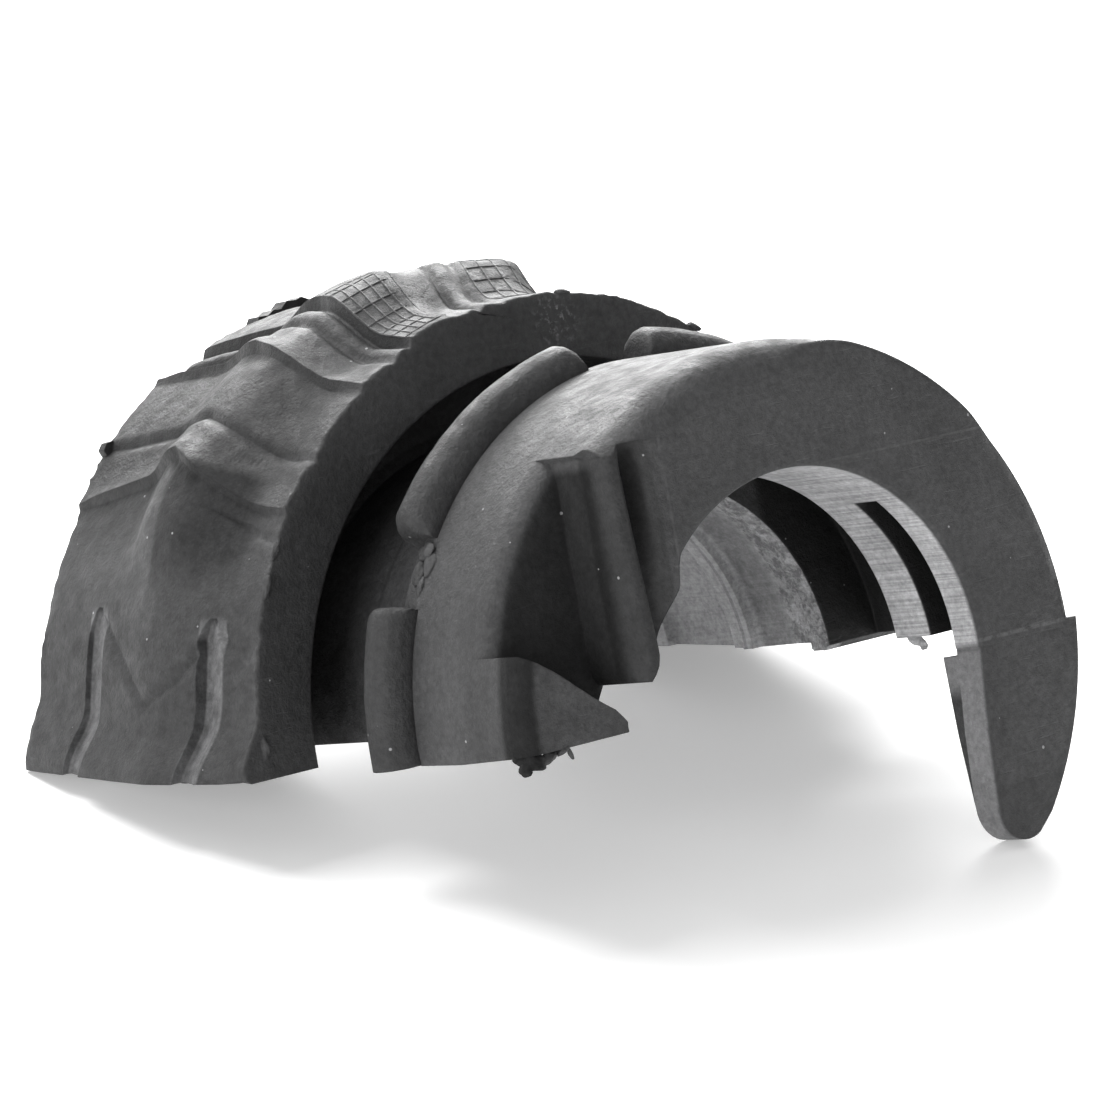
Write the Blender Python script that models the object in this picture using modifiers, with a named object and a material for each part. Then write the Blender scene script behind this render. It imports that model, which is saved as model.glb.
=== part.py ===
"""Half of a rubber sway bar bushing, moulded in one piece, lying on its claw tip and its rear collar.

The shape is worked out in a bore frame: +X along the bar towards the front collar, whose end
face is x = 0, and +Z up from the split between the two halves of the bushing. At the end the
piece is tipped into its rest pose. Angles go round the bore, 0 at +Y (the far side, with the
long claw), 90 at the top and 180 at -Y (the near side, with the scoop for the other half's
claw). Lengths are in millimetres until they reach a mesh, and angles in degrees.
"""

import math

import bmesh
import bpy
from mathutils import Matrix

MM = 0.001

# Places along the bore
LAND_END = -2.4
SLOT_END = -4.5
GROOVE_START = -7.6
LOBE_FRONT = -13.1
GROOVE_END = -14.0
COLLAR_END = -14.1
NECK_START = -16.4
BORE_STEP_START = -21.3
FACE_X = -21.96
BORE_STEP_END = -29.6
POCKET_END = -30.0
CREST_X = -31.6
RIM_X = -43.6

# Radii
BORE_R = 12.5
SLOT_R = 14.6
GROOVE_R = 16.6
NECK_R = 16.8
COLLAR_R = 20.12
FACE_INNER_R = 20.9
LOBE_R = 22.0
FACE_R = 24.9
BACK_R = 26.4
BARREL_R = 27.0
CREST_R = 27.7

# Small sizes shared by several features
EDGE = 0.3
BORE_STEP = 0.7
POCKET_FILLET = 0.6
VALLEY_RISE = 0.5
RELIEF_DEPTH = 0.4
FLARE = 1.4
LIP_BULGE = 0.9

# The scoop and what bounds it
SCOOP_FLOOR = -5.5
SCOOP_WALL_Y = -12.4
SCOOP_TOP = 15.8
SLAB_Y = -8.8
SLAB_DIP = 1.0
TONGUE_X = -2.4
TONGUE_TOP = 5.6
LIP_BOTTOM = 2.3

# The long claw
CLAW_FACE_X = -0.12
CLAW_DEPTH = 3.8
CLAW_TIP_DEPTH = 2.0
CLAW_TIP_Z = -12.3
CLAW_TIP_R = 1.9
CLAW_INNER_Y = 11.8
CLAW_ROOT_Y = 12.6

# Heights of the lowest faces above the split
NECK_SPLIT = 0.5
RIM_SPLIT = 1.7
FAR_SPLIT = 2.1

# The two upright slots low on the near side of the rear collar
REAR_SLOT_WIDTH = 1.4
REAR_SLOT_R = 25.7
REAR_SLOT_LEAN = 2.3

# Angles round the bore
LOBES = ((-4.0, 24.0), (37.0, 84.0), (98.0, 143.0), (156.0, 184.0))
SLOT_TOP_ANGLE = 48.0
CREST_FADE_IN = (69.8, 75.8)
FACE_FADE_IN = (80.0, 86.0)
CREST_FADE_OUT = (143.0, 153.0)
FLAP_ANGLES = (93.0, 107.0)

# The relief of the rear collar, as angles on its crest: the grooves over it, and the swells, each
# with where it starts, where it is highest, where it begins to fall and where it has gone
RELIEF_GROOVES = (86.0, 90.0, 108.0, 112.0, 130.0)
SWELLS = ((93.0, 99.5, 105.0, 109.5), (112.0, 118.0, 118.0, 119.0), (130.0, 136.0, 136.0, 137.0))

# How far its lines lean down from the crest, as (angle on the crest, lean at the front face,
# lean at the rear rim)
LEANS = (
    (70.0, 0.0, 0.0), (88.0, 8.0, 3.0), (110.0, 3.0, 4.0), (118.0, 3.0, 1.0), (130.0, 4.5, 2.0),
    (136.0, 6.8, 4.5), (152.0, 3.0, 2.0), (170.0, 0.0, 0.0),
)

REST_TILT = 18.8
REST_ROLL = 0.36

# Two degrees a step, so that a line of the turned mesh follows each groove of the relief
TURN_STEPS = 180


def clear_scene():
    for obj in list(bpy.data.objects):
        bpy.data.objects.remove(obj, do_unlink=True)


def new_collection(name):
    made = bpy.data.collections.new(name)
    bpy.context.scene.collection.children.link(made)
    return made


def add_mesh(name, mesh, collection):
    obj = bpy.data.objects.new(name, mesh)
    collection.objects.link(obj)
    return obj


def mesh_from_bmesh(name, built):
    bmesh.ops.recalc_face_normals(built, faces=built.faces)
    mesh = bpy.data.meshes.new(name)
    built.to_mesh(mesh)
    built.free()
    return mesh


def taken_as_mesh(obj):
    """The object's evaluated shape as a mesh in world space, welded. The object is removed."""
    bpy.context.view_layer.update()
    graph = bpy.context.evaluated_depsgraph_get()
    mesh = bpy.data.meshes.new_from_object(obj.evaluated_get(graph))
    mesh.transform(obj.matrix_world)
    name = obj.name
    bpy.data.objects.remove(obj, do_unlink=True)
    built = bmesh.new()
    built.from_mesh(mesh)
    bpy.data.meshes.remove(mesh)
    bmesh.ops.remove_doubles(built, verts=built.verts, dist=0.005 * MM)
    return mesh_from_bmesh(name, built)


def turned(name, profile, collection, start=0.0, end=360.0):
    """A closed (x, r) profile turned about the X axis between two angles, and capped if open."""
    count = len(profile)
    first = math.radians(start)
    mesh = bpy.data.meshes.new(name)
    mesh.from_pydata(
        [(x * MM, r * MM * math.cos(first), r * MM * math.sin(first)) for x, r in profile],
        [(i, (i + 1) % count) for i in range(count)],
        [],
    )
    obj = add_mesh(name + "_profile", mesh, collection)
    screw = obj.modifiers.new("Turn", "SCREW")
    screw.axis = "X"
    screw.angle = math.radians(end - start)
    screw.steps = max(6, round(TURN_STEPS * (end - start) / 360.0))
    screw.render_steps = screw.steps
    screw.use_merge_vertices = True
    screw.merge_threshold = 0.00001
    made = taken_as_mesh(obj)
    built = bmesh.new()
    built.from_mesh(made)
    bpy.data.meshes.remove(made)
    open_edges = [edge for edge in built.edges if edge.is_boundary]
    if open_edges:
        bmesh.ops.holes_fill(built, edges=open_edges, sides=0)
    return add_mesh(name, mesh_from_bmesh(name, built), collection)


def extruded_outline(name, outline, depth, collection):
    """A closed 2-D outline as a slab, its middle at z = 0, before it is turned."""
    curve = bpy.data.curves.new(name, "CURVE")
    curve.dimensions = "2D"
    curve.fill_mode = "BOTH"
    curve.extrude = depth * MM / 2
    spline = curve.splines.new("POLY")
    spline.points.add(len(outline) - 1)
    for point, (u, v) in zip(spline.points, outline):
        point.co = (u * MM, v * MM, 0.0, 1.0)
    spline.use_cyclic_u = True
    obj = bpy.data.objects.new(name + "_outline", curve)
    collection.objects.link(obj)
    return add_mesh(name, taken_as_mesh(obj), collection)


def across_the_bore(name, outline, x_from, x_to, collection):
    """A slab whose outline is given as (y, z), reaching from x_from to x_to."""
    slab = extruded_outline(name, outline, x_to - x_from, collection)
    # The outline's u becomes Y, its v becomes Z, and its thickness lies along X.
    turn = Matrix(((0, 0, 1, 0), (1, 0, 0, 0), (0, 1, 0, 0), (0, 0, 0, 1)))
    slab.data.transform(Matrix.Translation(((x_from + x_to) / 2 * MM, 0, 0)) @ turn)
    return slab


def along_the_bore(name, outline, y_from, y_to, collection):
    """A slab whose outline is given as (x, z), reaching from y_from to y_to."""
    slab = extruded_outline(name, outline, y_to - y_from, collection)
    turn = Matrix(((1, 0, 0, 0), (0, 0, -1, 0), (0, 1, 0, 0), (0, 0, 0, 1)))
    slab.data.transform(Matrix.Translation((0, (y_from + y_to) / 2 * MM, 0)) @ turn)
    return slab


def upright(name, outline, z_from, z_to, collection):
    """A slab whose outline is given as (x, y), reaching from z_from to z_to."""
    slab = extruded_outline(name, outline, z_to - z_from, collection)
    slab.data.transform(Matrix.Translation((0, 0, (z_from + z_to) / 2 * MM)))
    return slab


def lofted(name, sections, collection):
    """A closed solid through sections that have the same number of (x, y, z) points."""
    built = bmesh.new()
    rings = [[built.verts.new([c * MM for c in point]) for point in section] for section in sections]
    for ring, after in zip(rings, rings[1:]):
        for i, vertex in enumerate(ring):
            built.faces.new((ring[i - 1], vertex, after[i], after[i - 1]))
    built.faces.new(rings[0])
    built.faces.new(rings[-1])
    return add_mesh(name, mesh_from_bmesh(name, built), collection)


def boolean(obj, operation, other):
    modifier = obj.modifiers.new(other.name, "BOOLEAN")
    modifier.operation = operation
    modifier.solver = "EXACT"
    modifier.object = other
    return modifier


def common_part(name, obj, other, collection):
    """What two solids share, as a solid of its own."""
    boolean(obj, "INTERSECT", other)
    return add_mesh(name, taken_as_mesh(obj), collection)


def on_ring(x, r, angle):
    turn = math.radians(angle)
    return (x, r * math.cos(turn), r * math.sin(turn))


def arc(centre, radius, start, end, steps):
    """Points (u, v) on a circle, from one angle to another."""
    made = []
    for step in range(steps + 1):
        turn = math.radians(start + (end - start) * step / steps)
        made.append((centre[0] + radius * math.cos(turn), centre[1] + radius * math.sin(turn)))
    return made


def smooth_step(start, end, value):
    t = min(1.0, max(0.0, (value - start) / (end - start)))
    return t * t * (3 - 2 * t)


def share_between(start, end, value):
    return min(1.0, max(0.0, (value - start) / (end - start)))


def mix(a, b, share):
    return a + (b - a) * share


def lean(x, angle):
    """How far a line over the rear collar has leaned down at x from its angle on the crest."""
    ahead = math.sin(0.5 * math.pi * share_between(CREST_X, FACE_X, x))
    behind = share_between(CREST_X, RIM_X, x)
    for (start, *first), (end, *second) in zip(LEANS, LEANS[1:]):
        if start <= angle <= end:
            share = share_between(start, end, angle)
            return mix(first[0], second[0], share) * ahead + mix(first[1], second[1], share) * behind
    return 0.0


def pad_relief(angle):
    """The rear collar's relief at an angle on its crest."""
    height = 0.0
    for groove in RELIEF_GROOVES:
        height -= RELIEF_DEPTH * math.exp(-((angle - groove) ** 2))
    for start, full, until, gone in SWELLS:
        rise = share_between(start, full, angle) ** 2
        height += VALLEY_RISE * rise * (1 - smooth_step(until, gone, angle))
    return height


def drawn_to_step(angle):
    """The angle of a line of mesh, moved close to a swell's steep edge just before it."""
    for *_, until, gone in SWELLS:
        if gone < until + 2.0 and until + 0.1 < angle < until + 2.1:
            return mix(until, gone, 0.7)
    return angle


def rear_collar_radius(x, angle):
    """The outside radius of the rear collar, at an angle that is counted on the crest.

    The crest, with its bands and steps, runs over the top and down the near side. Beside it, and
    on the far side, the collar is a plain barrel that flares out in its last few millimetres.
    """
    ahead = share_between(CREST_X, FACE_X, x)
    behind = share_between(CREST_X, RIM_X, x)
    rear_pad = smooth_step(116.0, 120.0, angle) * (1 - smooth_step(128.0, 137.0, angle))
    if x > CREST_X:
        ridge = 1 - smooth_step(0.17, 0.73, ahead)
        foot = FACE_R + 0.2 * (BARREL_R - FACE_R) * (1 - ahead)
    else:
        ridge = 1 - smooth_step(0.05, 0.38, behind)
        foot = BACK_R + VALLEY_RISE * rear_pad
    at_edges = 0.6 + 0.4 * smooth_step(0.0, 0.3, min(1 - ahead, 1 - behind))
    crest = mix(foot, CREST_R, ridge) + pad_relief(angle) * at_edges
    if angle > 110.0:
        barrel = mix(BARREL_R, FACE_R, smooth_step(0.05, 1.0, ahead)) - VALLEY_RISE * behind
    else:
        barrel = FACE_R - EDGE * (1 - smooth_step(55.0, 72.0, angle))
    fade_in = [mix(a, b, ahead) for a, b in zip(CREST_FADE_IN, FACE_FADE_IN)]
    crested = smooth_step(*fade_in, angle) * (1 - smooth_step(*CREST_FADE_OUT, angle))
    side = max(angle, 180.0 - angle)
    rearward = smooth_step(0.0, 1.0, behind)
    flare = FLARE * smooth_step(172.0 - 6.0 * rearward, 180.0 - 4.0 * rearward, side)
    return mix(barrel, crest, crested) + flare


def lip_bulge(angle):
    """How far the thin lip beside the scoop leans into the bore."""
    return LIP_BULGE * smooth_step(133.0, 143.0, angle) * (1 - smooth_step(163.0, 177.0, angle))


def build_blank(collection):
    """The turned body: bore lands and grooves, front collar, neck and rear collar."""
    collar = [
        (0.0, COLLAR_R - 0.5 * EDGE),
        (-EDGE, COLLAR_R),
        (0.5 * COLLAR_END, COLLAR_R),
        (COLLAR_END, COLLAR_R),
        (mix(COLLAR_END, NECK_START, 0.2), mix(COLLAR_R, NECK_R, 0.25)),
        (mix(COLLAR_END, NECK_START, 0.8), mix(COLLAR_R, NECK_R, 0.3)),
    ]
    neck = [
        (NECK_START, NECK_R),
        (POCKET_END + POCKET_FILLET, NECK_R),
        (POCKET_END, NECK_R + POCKET_FILLET),
        (POCKET_END, FACE_INNER_R - POCKET_FILLET),
        (POCKET_END + POCKET_FILLET, FACE_INNER_R),
        (FACE_X, FACE_INNER_R),
    ]
    front_slope = [mix(FACE_X, CREST_X, i / 9) for i in range(10)]
    back_slope = [mix(CREST_X, RIM_X, share) for share in (0.06, 0.14, 0.24, 0.38, 0.6, 0.8, 0.95, 1.0)]
    rear = [(x, FACE_R) for x in front_slope + back_slope]
    bore = [
        (RIM_X, BORE_R + BORE_STEP),
        (RIM_X + BORE_STEP, BORE_R),
        (BORE_STEP_END, BORE_R),
        (BORE_STEP_END, BORE_R + BORE_STEP),
        (mix(BORE_STEP_START, BORE_STEP_END, 0.23), BORE_R + BORE_STEP),
        (mix(BORE_STEP_START, BORE_STEP_END, 0.23), BORE_R),
        (BORE_STEP_START, BORE_R),
        (BORE_STEP_START, BORE_R + BORE_STEP),
        (mix(GROOVE_END, BORE_STEP_START, 0.6), BORE_R + 1.3 * BORE_STEP),
        (mix(GROOVE_END, BORE_STEP_START, 0.25), BORE_R + BORE_STEP),
        (mix(GROOVE_END, BORE_STEP_START, 0.22), BORE_R),
        (GROOVE_END, BORE_R),
        (GROOVE_END, GROOVE_R),
        (GROOVE_START, GROOVE_R),
        (GROOVE_START, BORE_R),
        (SLOT_END, BORE_R),
        (LAND_END, BORE_R),
        (-EDGE, BORE_R),
        (0.0, BORE_R + EDGE),
    ]
    blank = turned("sway_bar_bushing", collar + neck + rear + bore, collection)
    for vertex in blank.data.vertices:
        x, y, z = (c / MM for c in vertex.co)
        radius = math.hypot(y, z)
        angle = math.degrees(math.atan2(z, y))
        if angle < -90.0:
            angle += 360.0
        angle = max(0.0, min(180.0, angle))
        if x < FACE_X + EDGE:
            angle = drawn_to_step(angle)
        if x > GROOVE_START - 0.5 * EDGE and radius < BORE_R + 2 * EDGE:
            wanted = radius - lip_bulge(angle)
        elif radius > 0.5 * (FACE_INNER_R + FACE_R):
            wanted = rear_collar_radius(x, angle)
            if 0.0 < angle < 180.0:
                vertex.co = [c * MM for c in on_ring(x, wanted, angle + lean(x, angle))]
                continue
        else:
            continue
        vertex.co.y *= wanted / radius
        vertex.co.z *= wanted / radius
    return blank


def build_lobes(cutters):
    """The round-nosed lobes that stand out round the back of the front collar."""
    root = mix(NECK_R, COLLAR_R, 0.2)
    back = NECK_START + EDGE
    shoulder = mix(COLLAR_R, LOBE_R, 0.6)
    section = [
        (LOBE_FRONT + EDGE, root),
        (LOBE_FRONT + EDGE, COLLAR_R - EDGE),
        (LOBE_FRONT, mix(COLLAR_R, LOBE_R, 0.35)),
        (mix(LOBE_FRONT, back, 0.12), mix(COLLAR_R, LOBE_R, 0.8)),
        (mix(LOBE_FRONT, back, 0.35), LOBE_R),
        (mix(LOBE_FRONT, back, 0.6), mix(COLLAR_R, LOBE_R, 0.85)),
        (mix(LOBE_FRONT, back, 0.85), COLLAR_R),
        (back, mix(NECK_R, COLLAR_R, 0.6)),
        (back, root),
    ]
    made = []
    for number, (start, end) in enumerate(LOBES, 1):
        lobe = turned(f"lobe_{number}", section, cutters, start, end)
        for vertex in lobe.data.vertices:
            x, y, z = (c / MM for c in vertex.co)
            radius = math.hypot(y, z)
            angle = math.degrees(math.atan2(z, y))
            if angle < -90.0:
                angle += 360.0
            roundness = 0.55 + 0.45 * smooth_step(0.0, 3.0, min(angle - start, end - angle))
            wanted = mix(min(radius, COLLAR_R - EDGE), radius, roundness)
            vertex.co.y *= wanted / radius
            vertex.co.z *= wanted / radius
        made.append(lobe)
    return made


def build_claw(cutters):
    """The long claw below the far side of the front collar, thinning towards its tip."""
    root_z = -0.2 * CLAW_TIP_Z
    outer_centre = (0.22 * CLAW_TIP_R, CLAW_TIP_R)
    lowest = math.degrees(math.asin((CLAW_TIP_Z - 0.1 * CLAW_TIP_Z - CLAW_TIP_R) / COLLAR_R))
    shoulder = math.degrees(math.asin(-CLAW_TIP_R / COLLAR_R))
    tip_centre = (CLAW_INNER_Y + CLAW_TIP_R, CLAW_TIP_Z + CLAW_TIP_R)
    outline = [(COLLAR_R - 2 * EDGE, root_z), (COLLAR_R - 2 * EDGE, 0.0)]
    outline += arc(outer_centre, COLLAR_R, shoulder, lowest, 7)
    outline += arc(tip_centre, CLAW_TIP_R, 300.0, 180.0, 5)
    outline += [(mix(CLAW_INNER_Y, CLAW_ROOT_Y, 0.3), 0.45 * CLAW_TIP_Z), (CLAW_ROOT_Y, 0.0)]
    outline += [(CLAW_ROOT_Y, root_z)]
    claw = across_the_bore("claw", outline, -CLAW_DEPTH, CLAW_FACE_X, cutters)
    for vertex in claw.data.vertices:
        if vertex.co.x < -0.5 * CLAW_DEPTH * MM:
            down = share_between(0.0, CLAW_TIP_Z, vertex.co.z / MM)
            vertex.co.x = -mix(CLAW_DEPTH, CLAW_TIP_DEPTH, down) * MM
    return claw


def tongue_top_edge():
    """The tongue's upper edge as (y, z) points, from the collar's outside down to its torn tip."""
    return [
        (-1.15 * COLLAR_R, TONGUE_TOP),
        (-COLLAR_R, TONGUE_TOP),
        (-0.93 * COLLAR_R, 0.92 * TONGUE_TOP),
        (-0.85 * COLLAR_R, 0.68 * TONGUE_TOP),
        (-0.73 * COLLAR_R, 0.36 * TONGUE_TOP),
        (-0.61 * COLLAR_R, -0.05 * TONGUE_TOP),
    ]


def build_scoop(cutters):
    """The scoop on the near side that the other half's claw enters, its outer edge rolled over."""
    outer = 1.15 * COLLAR_R
    inner = 0.8 * BORE_R
    ahead = 2 * EDGE
    rolled = SCOOP_FLOOR - EDGE
    ring = turned(
        "scoop_ring",
        [
            (ahead, inner), (SCOOP_FLOOR, inner), (SCOOP_FLOOR, COLLAR_R - 4 * EDGE),
            (mix(SCOOP_FLOOR, rolled, 0.4), COLLAR_R - 2 * EDGE), (rolled, COLLAR_R),
            (rolled - 2 * EDGE, outer), (ahead, outer),
        ],
        cutters,
    )
    outline = [
        (SCOOP_WALL_Y, LIP_BOTTOM + 2 * EDGE), (SCOOP_WALL_Y, SCOOP_TOP), (-outer, SCOOP_TOP),
        *tongue_top_edge(), (-inner, -0.25 * TONGUE_TOP), (-inner, 0.8 * LIP_BOTTOM),
        (SCOOP_WALL_Y + EDGE, LIP_BOTTOM),
    ]
    window = across_the_bore("scoop_window", outline, 2 * SCOOP_FLOOR, 3 * EDGE, cutters)
    return common_part("scoop", ring, window, cutters)


def build_tongue_face(cutters):
    """What lies ahead of the tongue below the scoop, whose outer edge is well rounded."""
    outer = 1.15 * COLLAR_R
    ring = turned(
        "tongue_ring",
        [
            (3 * EDGE, 0.8 * BORE_R), (TONGUE_X, 0.8 * BORE_R), (TONGUE_X, COLLAR_R - 5 * EDGE),
            (TONGUE_X - EDGE, COLLAR_R - 2 * EDGE), (TONGUE_X - 3 * EDGE, COLLAR_R - 0.5 * EDGE),
            (SCOOP_FLOOR, COLLAR_R + EDGE), (SCOOP_FLOOR, outer), (3 * EDGE, outer),
        ],
        cutters,
    )
    outline = [
        (-0.55 * COLLAR_R, -TONGUE_TOP), (-outer, -TONGUE_TOP), (-outer, 1.1 * TONGUE_TOP),
        (SCOOP_WALL_Y - EDGE, 1.1 * TONGUE_TOP), (SCOOP_WALL_Y - EDGE, LIP_BOTTOM),
        (-0.55 * COLLAR_R, 0.7 * LIP_BOTTOM),
    ]
    window = across_the_bore("tongue_window", outline, 2 * SCOOP_FLOOR, 2 * EDGE, cutters)
    return common_part("tongue_face", ring, window, cutters)


def build_slab_face(cutters):
    """The shallow dip between the front face and the bead that edges the scoop."""
    bead = mix(SLAB_Y, SCOOP_WALL_Y, 0.83)
    outline = [
        (3 * EDGE, SLAB_Y), (0.0, SLAB_Y), (-0.5 * SLAB_DIP, mix(SLAB_Y, SCOOP_WALL_Y, 0.25)),
        (-SLAB_DIP, mix(SLAB_Y, SCOOP_WALL_Y, 0.55)), (-0.85 * SLAB_DIP, mix(SLAB_Y, bead, 0.9)),
        (-0.8 * SLAB_DIP, bead), (-1.2 * SLAB_DIP, mix(SLAB_Y, SCOOP_WALL_Y, 0.95)),
        (-2.2 * SLAB_DIP, SCOOP_WALL_Y - 0.1 * EDGE), (-2.2 * SLAB_DIP, SCOOP_WALL_Y - EDGE),
        (3 * EDGE, SCOOP_WALL_Y - EDGE),
    ]
    return upright("slab_face", outline, -0.3 * LIP_BOTTOM, SCOOP_TOP, cutters)


def build_splits(cutters):
    """What lies under the split face: it climbs to the rear, and is a little higher at the neck."""
    below = -2 * COLLAR_R
    behind = 1.15 * RIM_X
    beside = 2 * COLLAR_R
    whole = along_the_bore(
        "under_split",
        [
            (10 * EDGE, below), (10 * EDGE, -0.8 * NECK_SPLIT), (TONGUE_X, -0.8 * NECK_SPLIT),
            (mix(COLLAR_END, NECK_START, 0.9), -NECK_SPLIT), (FACE_X, -0.4 * NECK_SPLIT),
            (RIM_X, RIM_SPLIT), (behind, mix(NECK_SPLIT, RIM_SPLIT, 1.5)), (behind, below),
        ],
        -beside,
        beside,
        cutters,
    )
    neck_side = 0.5 * (FACE_INNER_R + COLLAR_R)
    neck = across_the_bore(
        "under_neck",
        [(-neck_side, below), (neck_side, below), (neck_side, NECK_SPLIT), (-neck_side, NECK_SPLIT)],
        POCKET_END + 0.5 * EDGE,
        NECK_START - 0.5 * EDGE,
        cutters,
    )
    far = along_the_bore(
        "under_far_wall",
        [
            (-CLAW_DEPTH, below), (-CLAW_DEPTH, NECK_SPLIT), (GROOVE_END, 0.8 * NECK_SPLIT),
            (COLLAR_END - EDGE, 0.1 * NECK_SPLIT), (FACE_X, 0.3 * NECK_SPLIT),
            (FACE_X - EDGE, 1.2 * NECK_SPLIT), (behind, mix(NECK_SPLIT, FAR_SPLIT, 1.2)),
            (behind, below),
        ],
        0.4 * BORE_R,
        beside,
        cutters,
    )
    return whole, neck, far


def build_flap(cutters):
    """A torn tongue of rubber left standing on the rear rim, just past the top."""
    start, end = FLAP_ANGLES
    tops = (0.0, 0.65, 0.72, 0.45, 0.2, 0.0)
    outer = []
    for number, top in enumerate(tops):
        angle = mix(start, end, number / (len(tops) - 1))
        outer.append(on_ring(0.0, mix(BACK_R, CREST_R, top), angle)[1:])
    inner = [on_ring(0.0, BACK_R - 1.5 * BORE_STEP, angle)[1:] for angle in (end, start)]
    return across_the_bore("flap", outer + inner, RIM_X, RIM_X + 2 * BORE_STEP, cutters)


def build_bore_slot(cutters):
    """The narrow slot in the far wall of the bore, from the split face up."""
    inner = 0.8 * BORE_R
    section = [(LAND_END, inner), (SLOT_END, inner), (SLOT_END, SLOT_R), (LAND_END, SLOT_R)]
    return turned("bore_slot", section, cutters, -4.0, SLOT_TOP_ANGLE)


def build_rear_slots(cutters):
    """The two upright slots low on the near side, pointed at the top and leaning back below."""
    outer = 1.15 * BARREL_R
    made = []
    for number, (share, top) in enumerate(((0.50, 158.0), (-0.62, 158.5)), 1):
        x_top = mix(CREST_X, RIM_X if share > 0 else FACE_X, abs(share))
        sections = []
        for down in (0.0, 0.12, 0.35, 0.55, 0.8, 1.0):
            angle = mix(top, 185.0, down)
            half = 0.5 * REAR_SLOT_WIDTH * (0.15 + 0.85 * smooth_step(0.0, 0.3, down))
            middle = x_top - REAR_SLOT_LEAN * smooth_step(0.4, 1.0, down)
            floor = mix(BARREL_R, REAR_SLOT_R, smooth_step(0.0, 0.2, down)) - (1 - down) * (share < 0)
            sides = (middle - half, middle + half)
            corners = [(x, floor) for x in sides] + [(x, outer) for x in reversed(sides)]
            sections.append([on_ring(x, r, angle) for x, r in corners])
        made.append(lofted(f"rear_slot_{number}", sections, cutters))
    return made


def rubber():
    material = bpy.data.materials.new("moulded_rubber")
    material.use_nodes = True
    shader = material.node_tree.nodes["Principled BSDF"]
    shader.inputs["Base Color"].default_value = (0.065, 0.065, 0.067, 1.0)
    shader.inputs["Roughness"].default_value = 0.6
    return material


def laid_to_rest(mesh):
    """The mesh tipped onto its claw tip and rear rim, with its box's bottom centre at the origin."""
    mesh.transform(Matrix.Rotation(math.radians(-REST_TILT), 4, "Y"))
    mesh.transform(Matrix.Rotation(math.radians(-REST_ROLL), 4, "X"))
    low = [min(vertex.co[axis] for vertex in mesh.vertices) for axis in range(3)]
    high = [max(vertex.co[axis] for vertex in mesh.vertices) for axis in range(3)]
    middle = [(low[axis] + high[axis]) / 2 for axis in range(2)]
    mesh.transform(Matrix.Translation((-middle[0], -middle[1], -low[2])))
    return mesh


def build():
    clear_scene()
    parts = new_collection("sway bar bushing")
    cutters = new_collection("cutters")
    body = build_blank(parts)
    under_split, under_neck, under_far_wall = build_splits(cutters)
    boolean(body, "DIFFERENCE", under_split)
    for added in build_lobes(cutters) + [build_flap(cutters)]:
        boolean(body, "UNION", added)
    cuts = [under_split, under_neck, under_far_wall]
    cuts += [build_scoop(cutters), build_tongue_face(cutters), build_slab_face(cutters)]
    for cutter in cuts:
        boolean(body, "DIFFERENCE", cutter)
    boolean(body, "UNION", build_claw(cutters))
    for cutter in [build_bore_slot(cutters)] + build_rear_slots(cutters):
        boolean(body, "DIFFERENCE", cutter)
    final = add_mesh("sway_bar_bushing", laid_to_rest(taken_as_mesh(body)), parts)
    final.data.materials.append(rubber())
    final.data.shade_smooth()
    final.data.set_sharp_from_angle(angle=math.radians(30.0))
    for obj in cutters.objects:
        obj.hide_render = True
        obj.display_type = "WIRE"
    cutters.hide_render = True
    bpy.context.view_layer.update()


build()
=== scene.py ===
import math

import bmesh
import bpy
from mathutils import Matrix, Vector, noise


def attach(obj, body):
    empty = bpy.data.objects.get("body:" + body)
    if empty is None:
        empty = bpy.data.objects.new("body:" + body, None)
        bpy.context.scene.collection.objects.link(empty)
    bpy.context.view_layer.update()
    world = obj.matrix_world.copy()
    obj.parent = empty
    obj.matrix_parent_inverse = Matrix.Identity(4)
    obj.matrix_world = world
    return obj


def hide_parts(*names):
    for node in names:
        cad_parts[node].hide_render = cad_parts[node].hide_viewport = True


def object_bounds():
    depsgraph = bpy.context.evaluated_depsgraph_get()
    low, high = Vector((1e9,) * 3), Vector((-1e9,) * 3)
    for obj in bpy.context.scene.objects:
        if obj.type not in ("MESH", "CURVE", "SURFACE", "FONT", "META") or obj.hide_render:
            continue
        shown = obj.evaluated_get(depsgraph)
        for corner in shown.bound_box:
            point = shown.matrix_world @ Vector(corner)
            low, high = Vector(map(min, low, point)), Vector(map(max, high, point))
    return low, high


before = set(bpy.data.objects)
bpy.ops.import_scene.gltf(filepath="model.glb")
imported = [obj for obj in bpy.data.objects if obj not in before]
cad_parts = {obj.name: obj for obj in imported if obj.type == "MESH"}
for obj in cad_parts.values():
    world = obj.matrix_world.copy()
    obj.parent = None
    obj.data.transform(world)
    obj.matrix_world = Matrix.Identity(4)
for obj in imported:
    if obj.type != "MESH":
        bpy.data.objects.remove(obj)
cad_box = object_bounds()

MM = 0.001

# The bushing is worked out in its bore frame, in millimetres and degrees: +X along the bar towards
# the front face, +Z up from the split, angles from 0 at the far side over the top to 180 at the
# near side

# Places along the bore
LAND_END = -2.4
SLOT_END = -4.5
GROOVE_START = -7.6
SEAM_X = -13.1
GROOVE_END = -14.0
COLLAR_END = -14.1
NECK_START = -16.4
FACE_X = -21.96
POCKET_END = -30.0
CREST_X = -31.6
RIM_X = -43.6

# Radii
BORE_R = 12.5
SLOT_R = 14.6
GROOVE_R = 16.6
NECK_R = 16.8
COLLAR_R = 20.12
FACE_INNER_R = 20.9
LOBE_R = 22.0
FACE_R = 24.9
BACK_R = 26.4
BARREL_R = 27.0
CREST_R = 27.7

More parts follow.
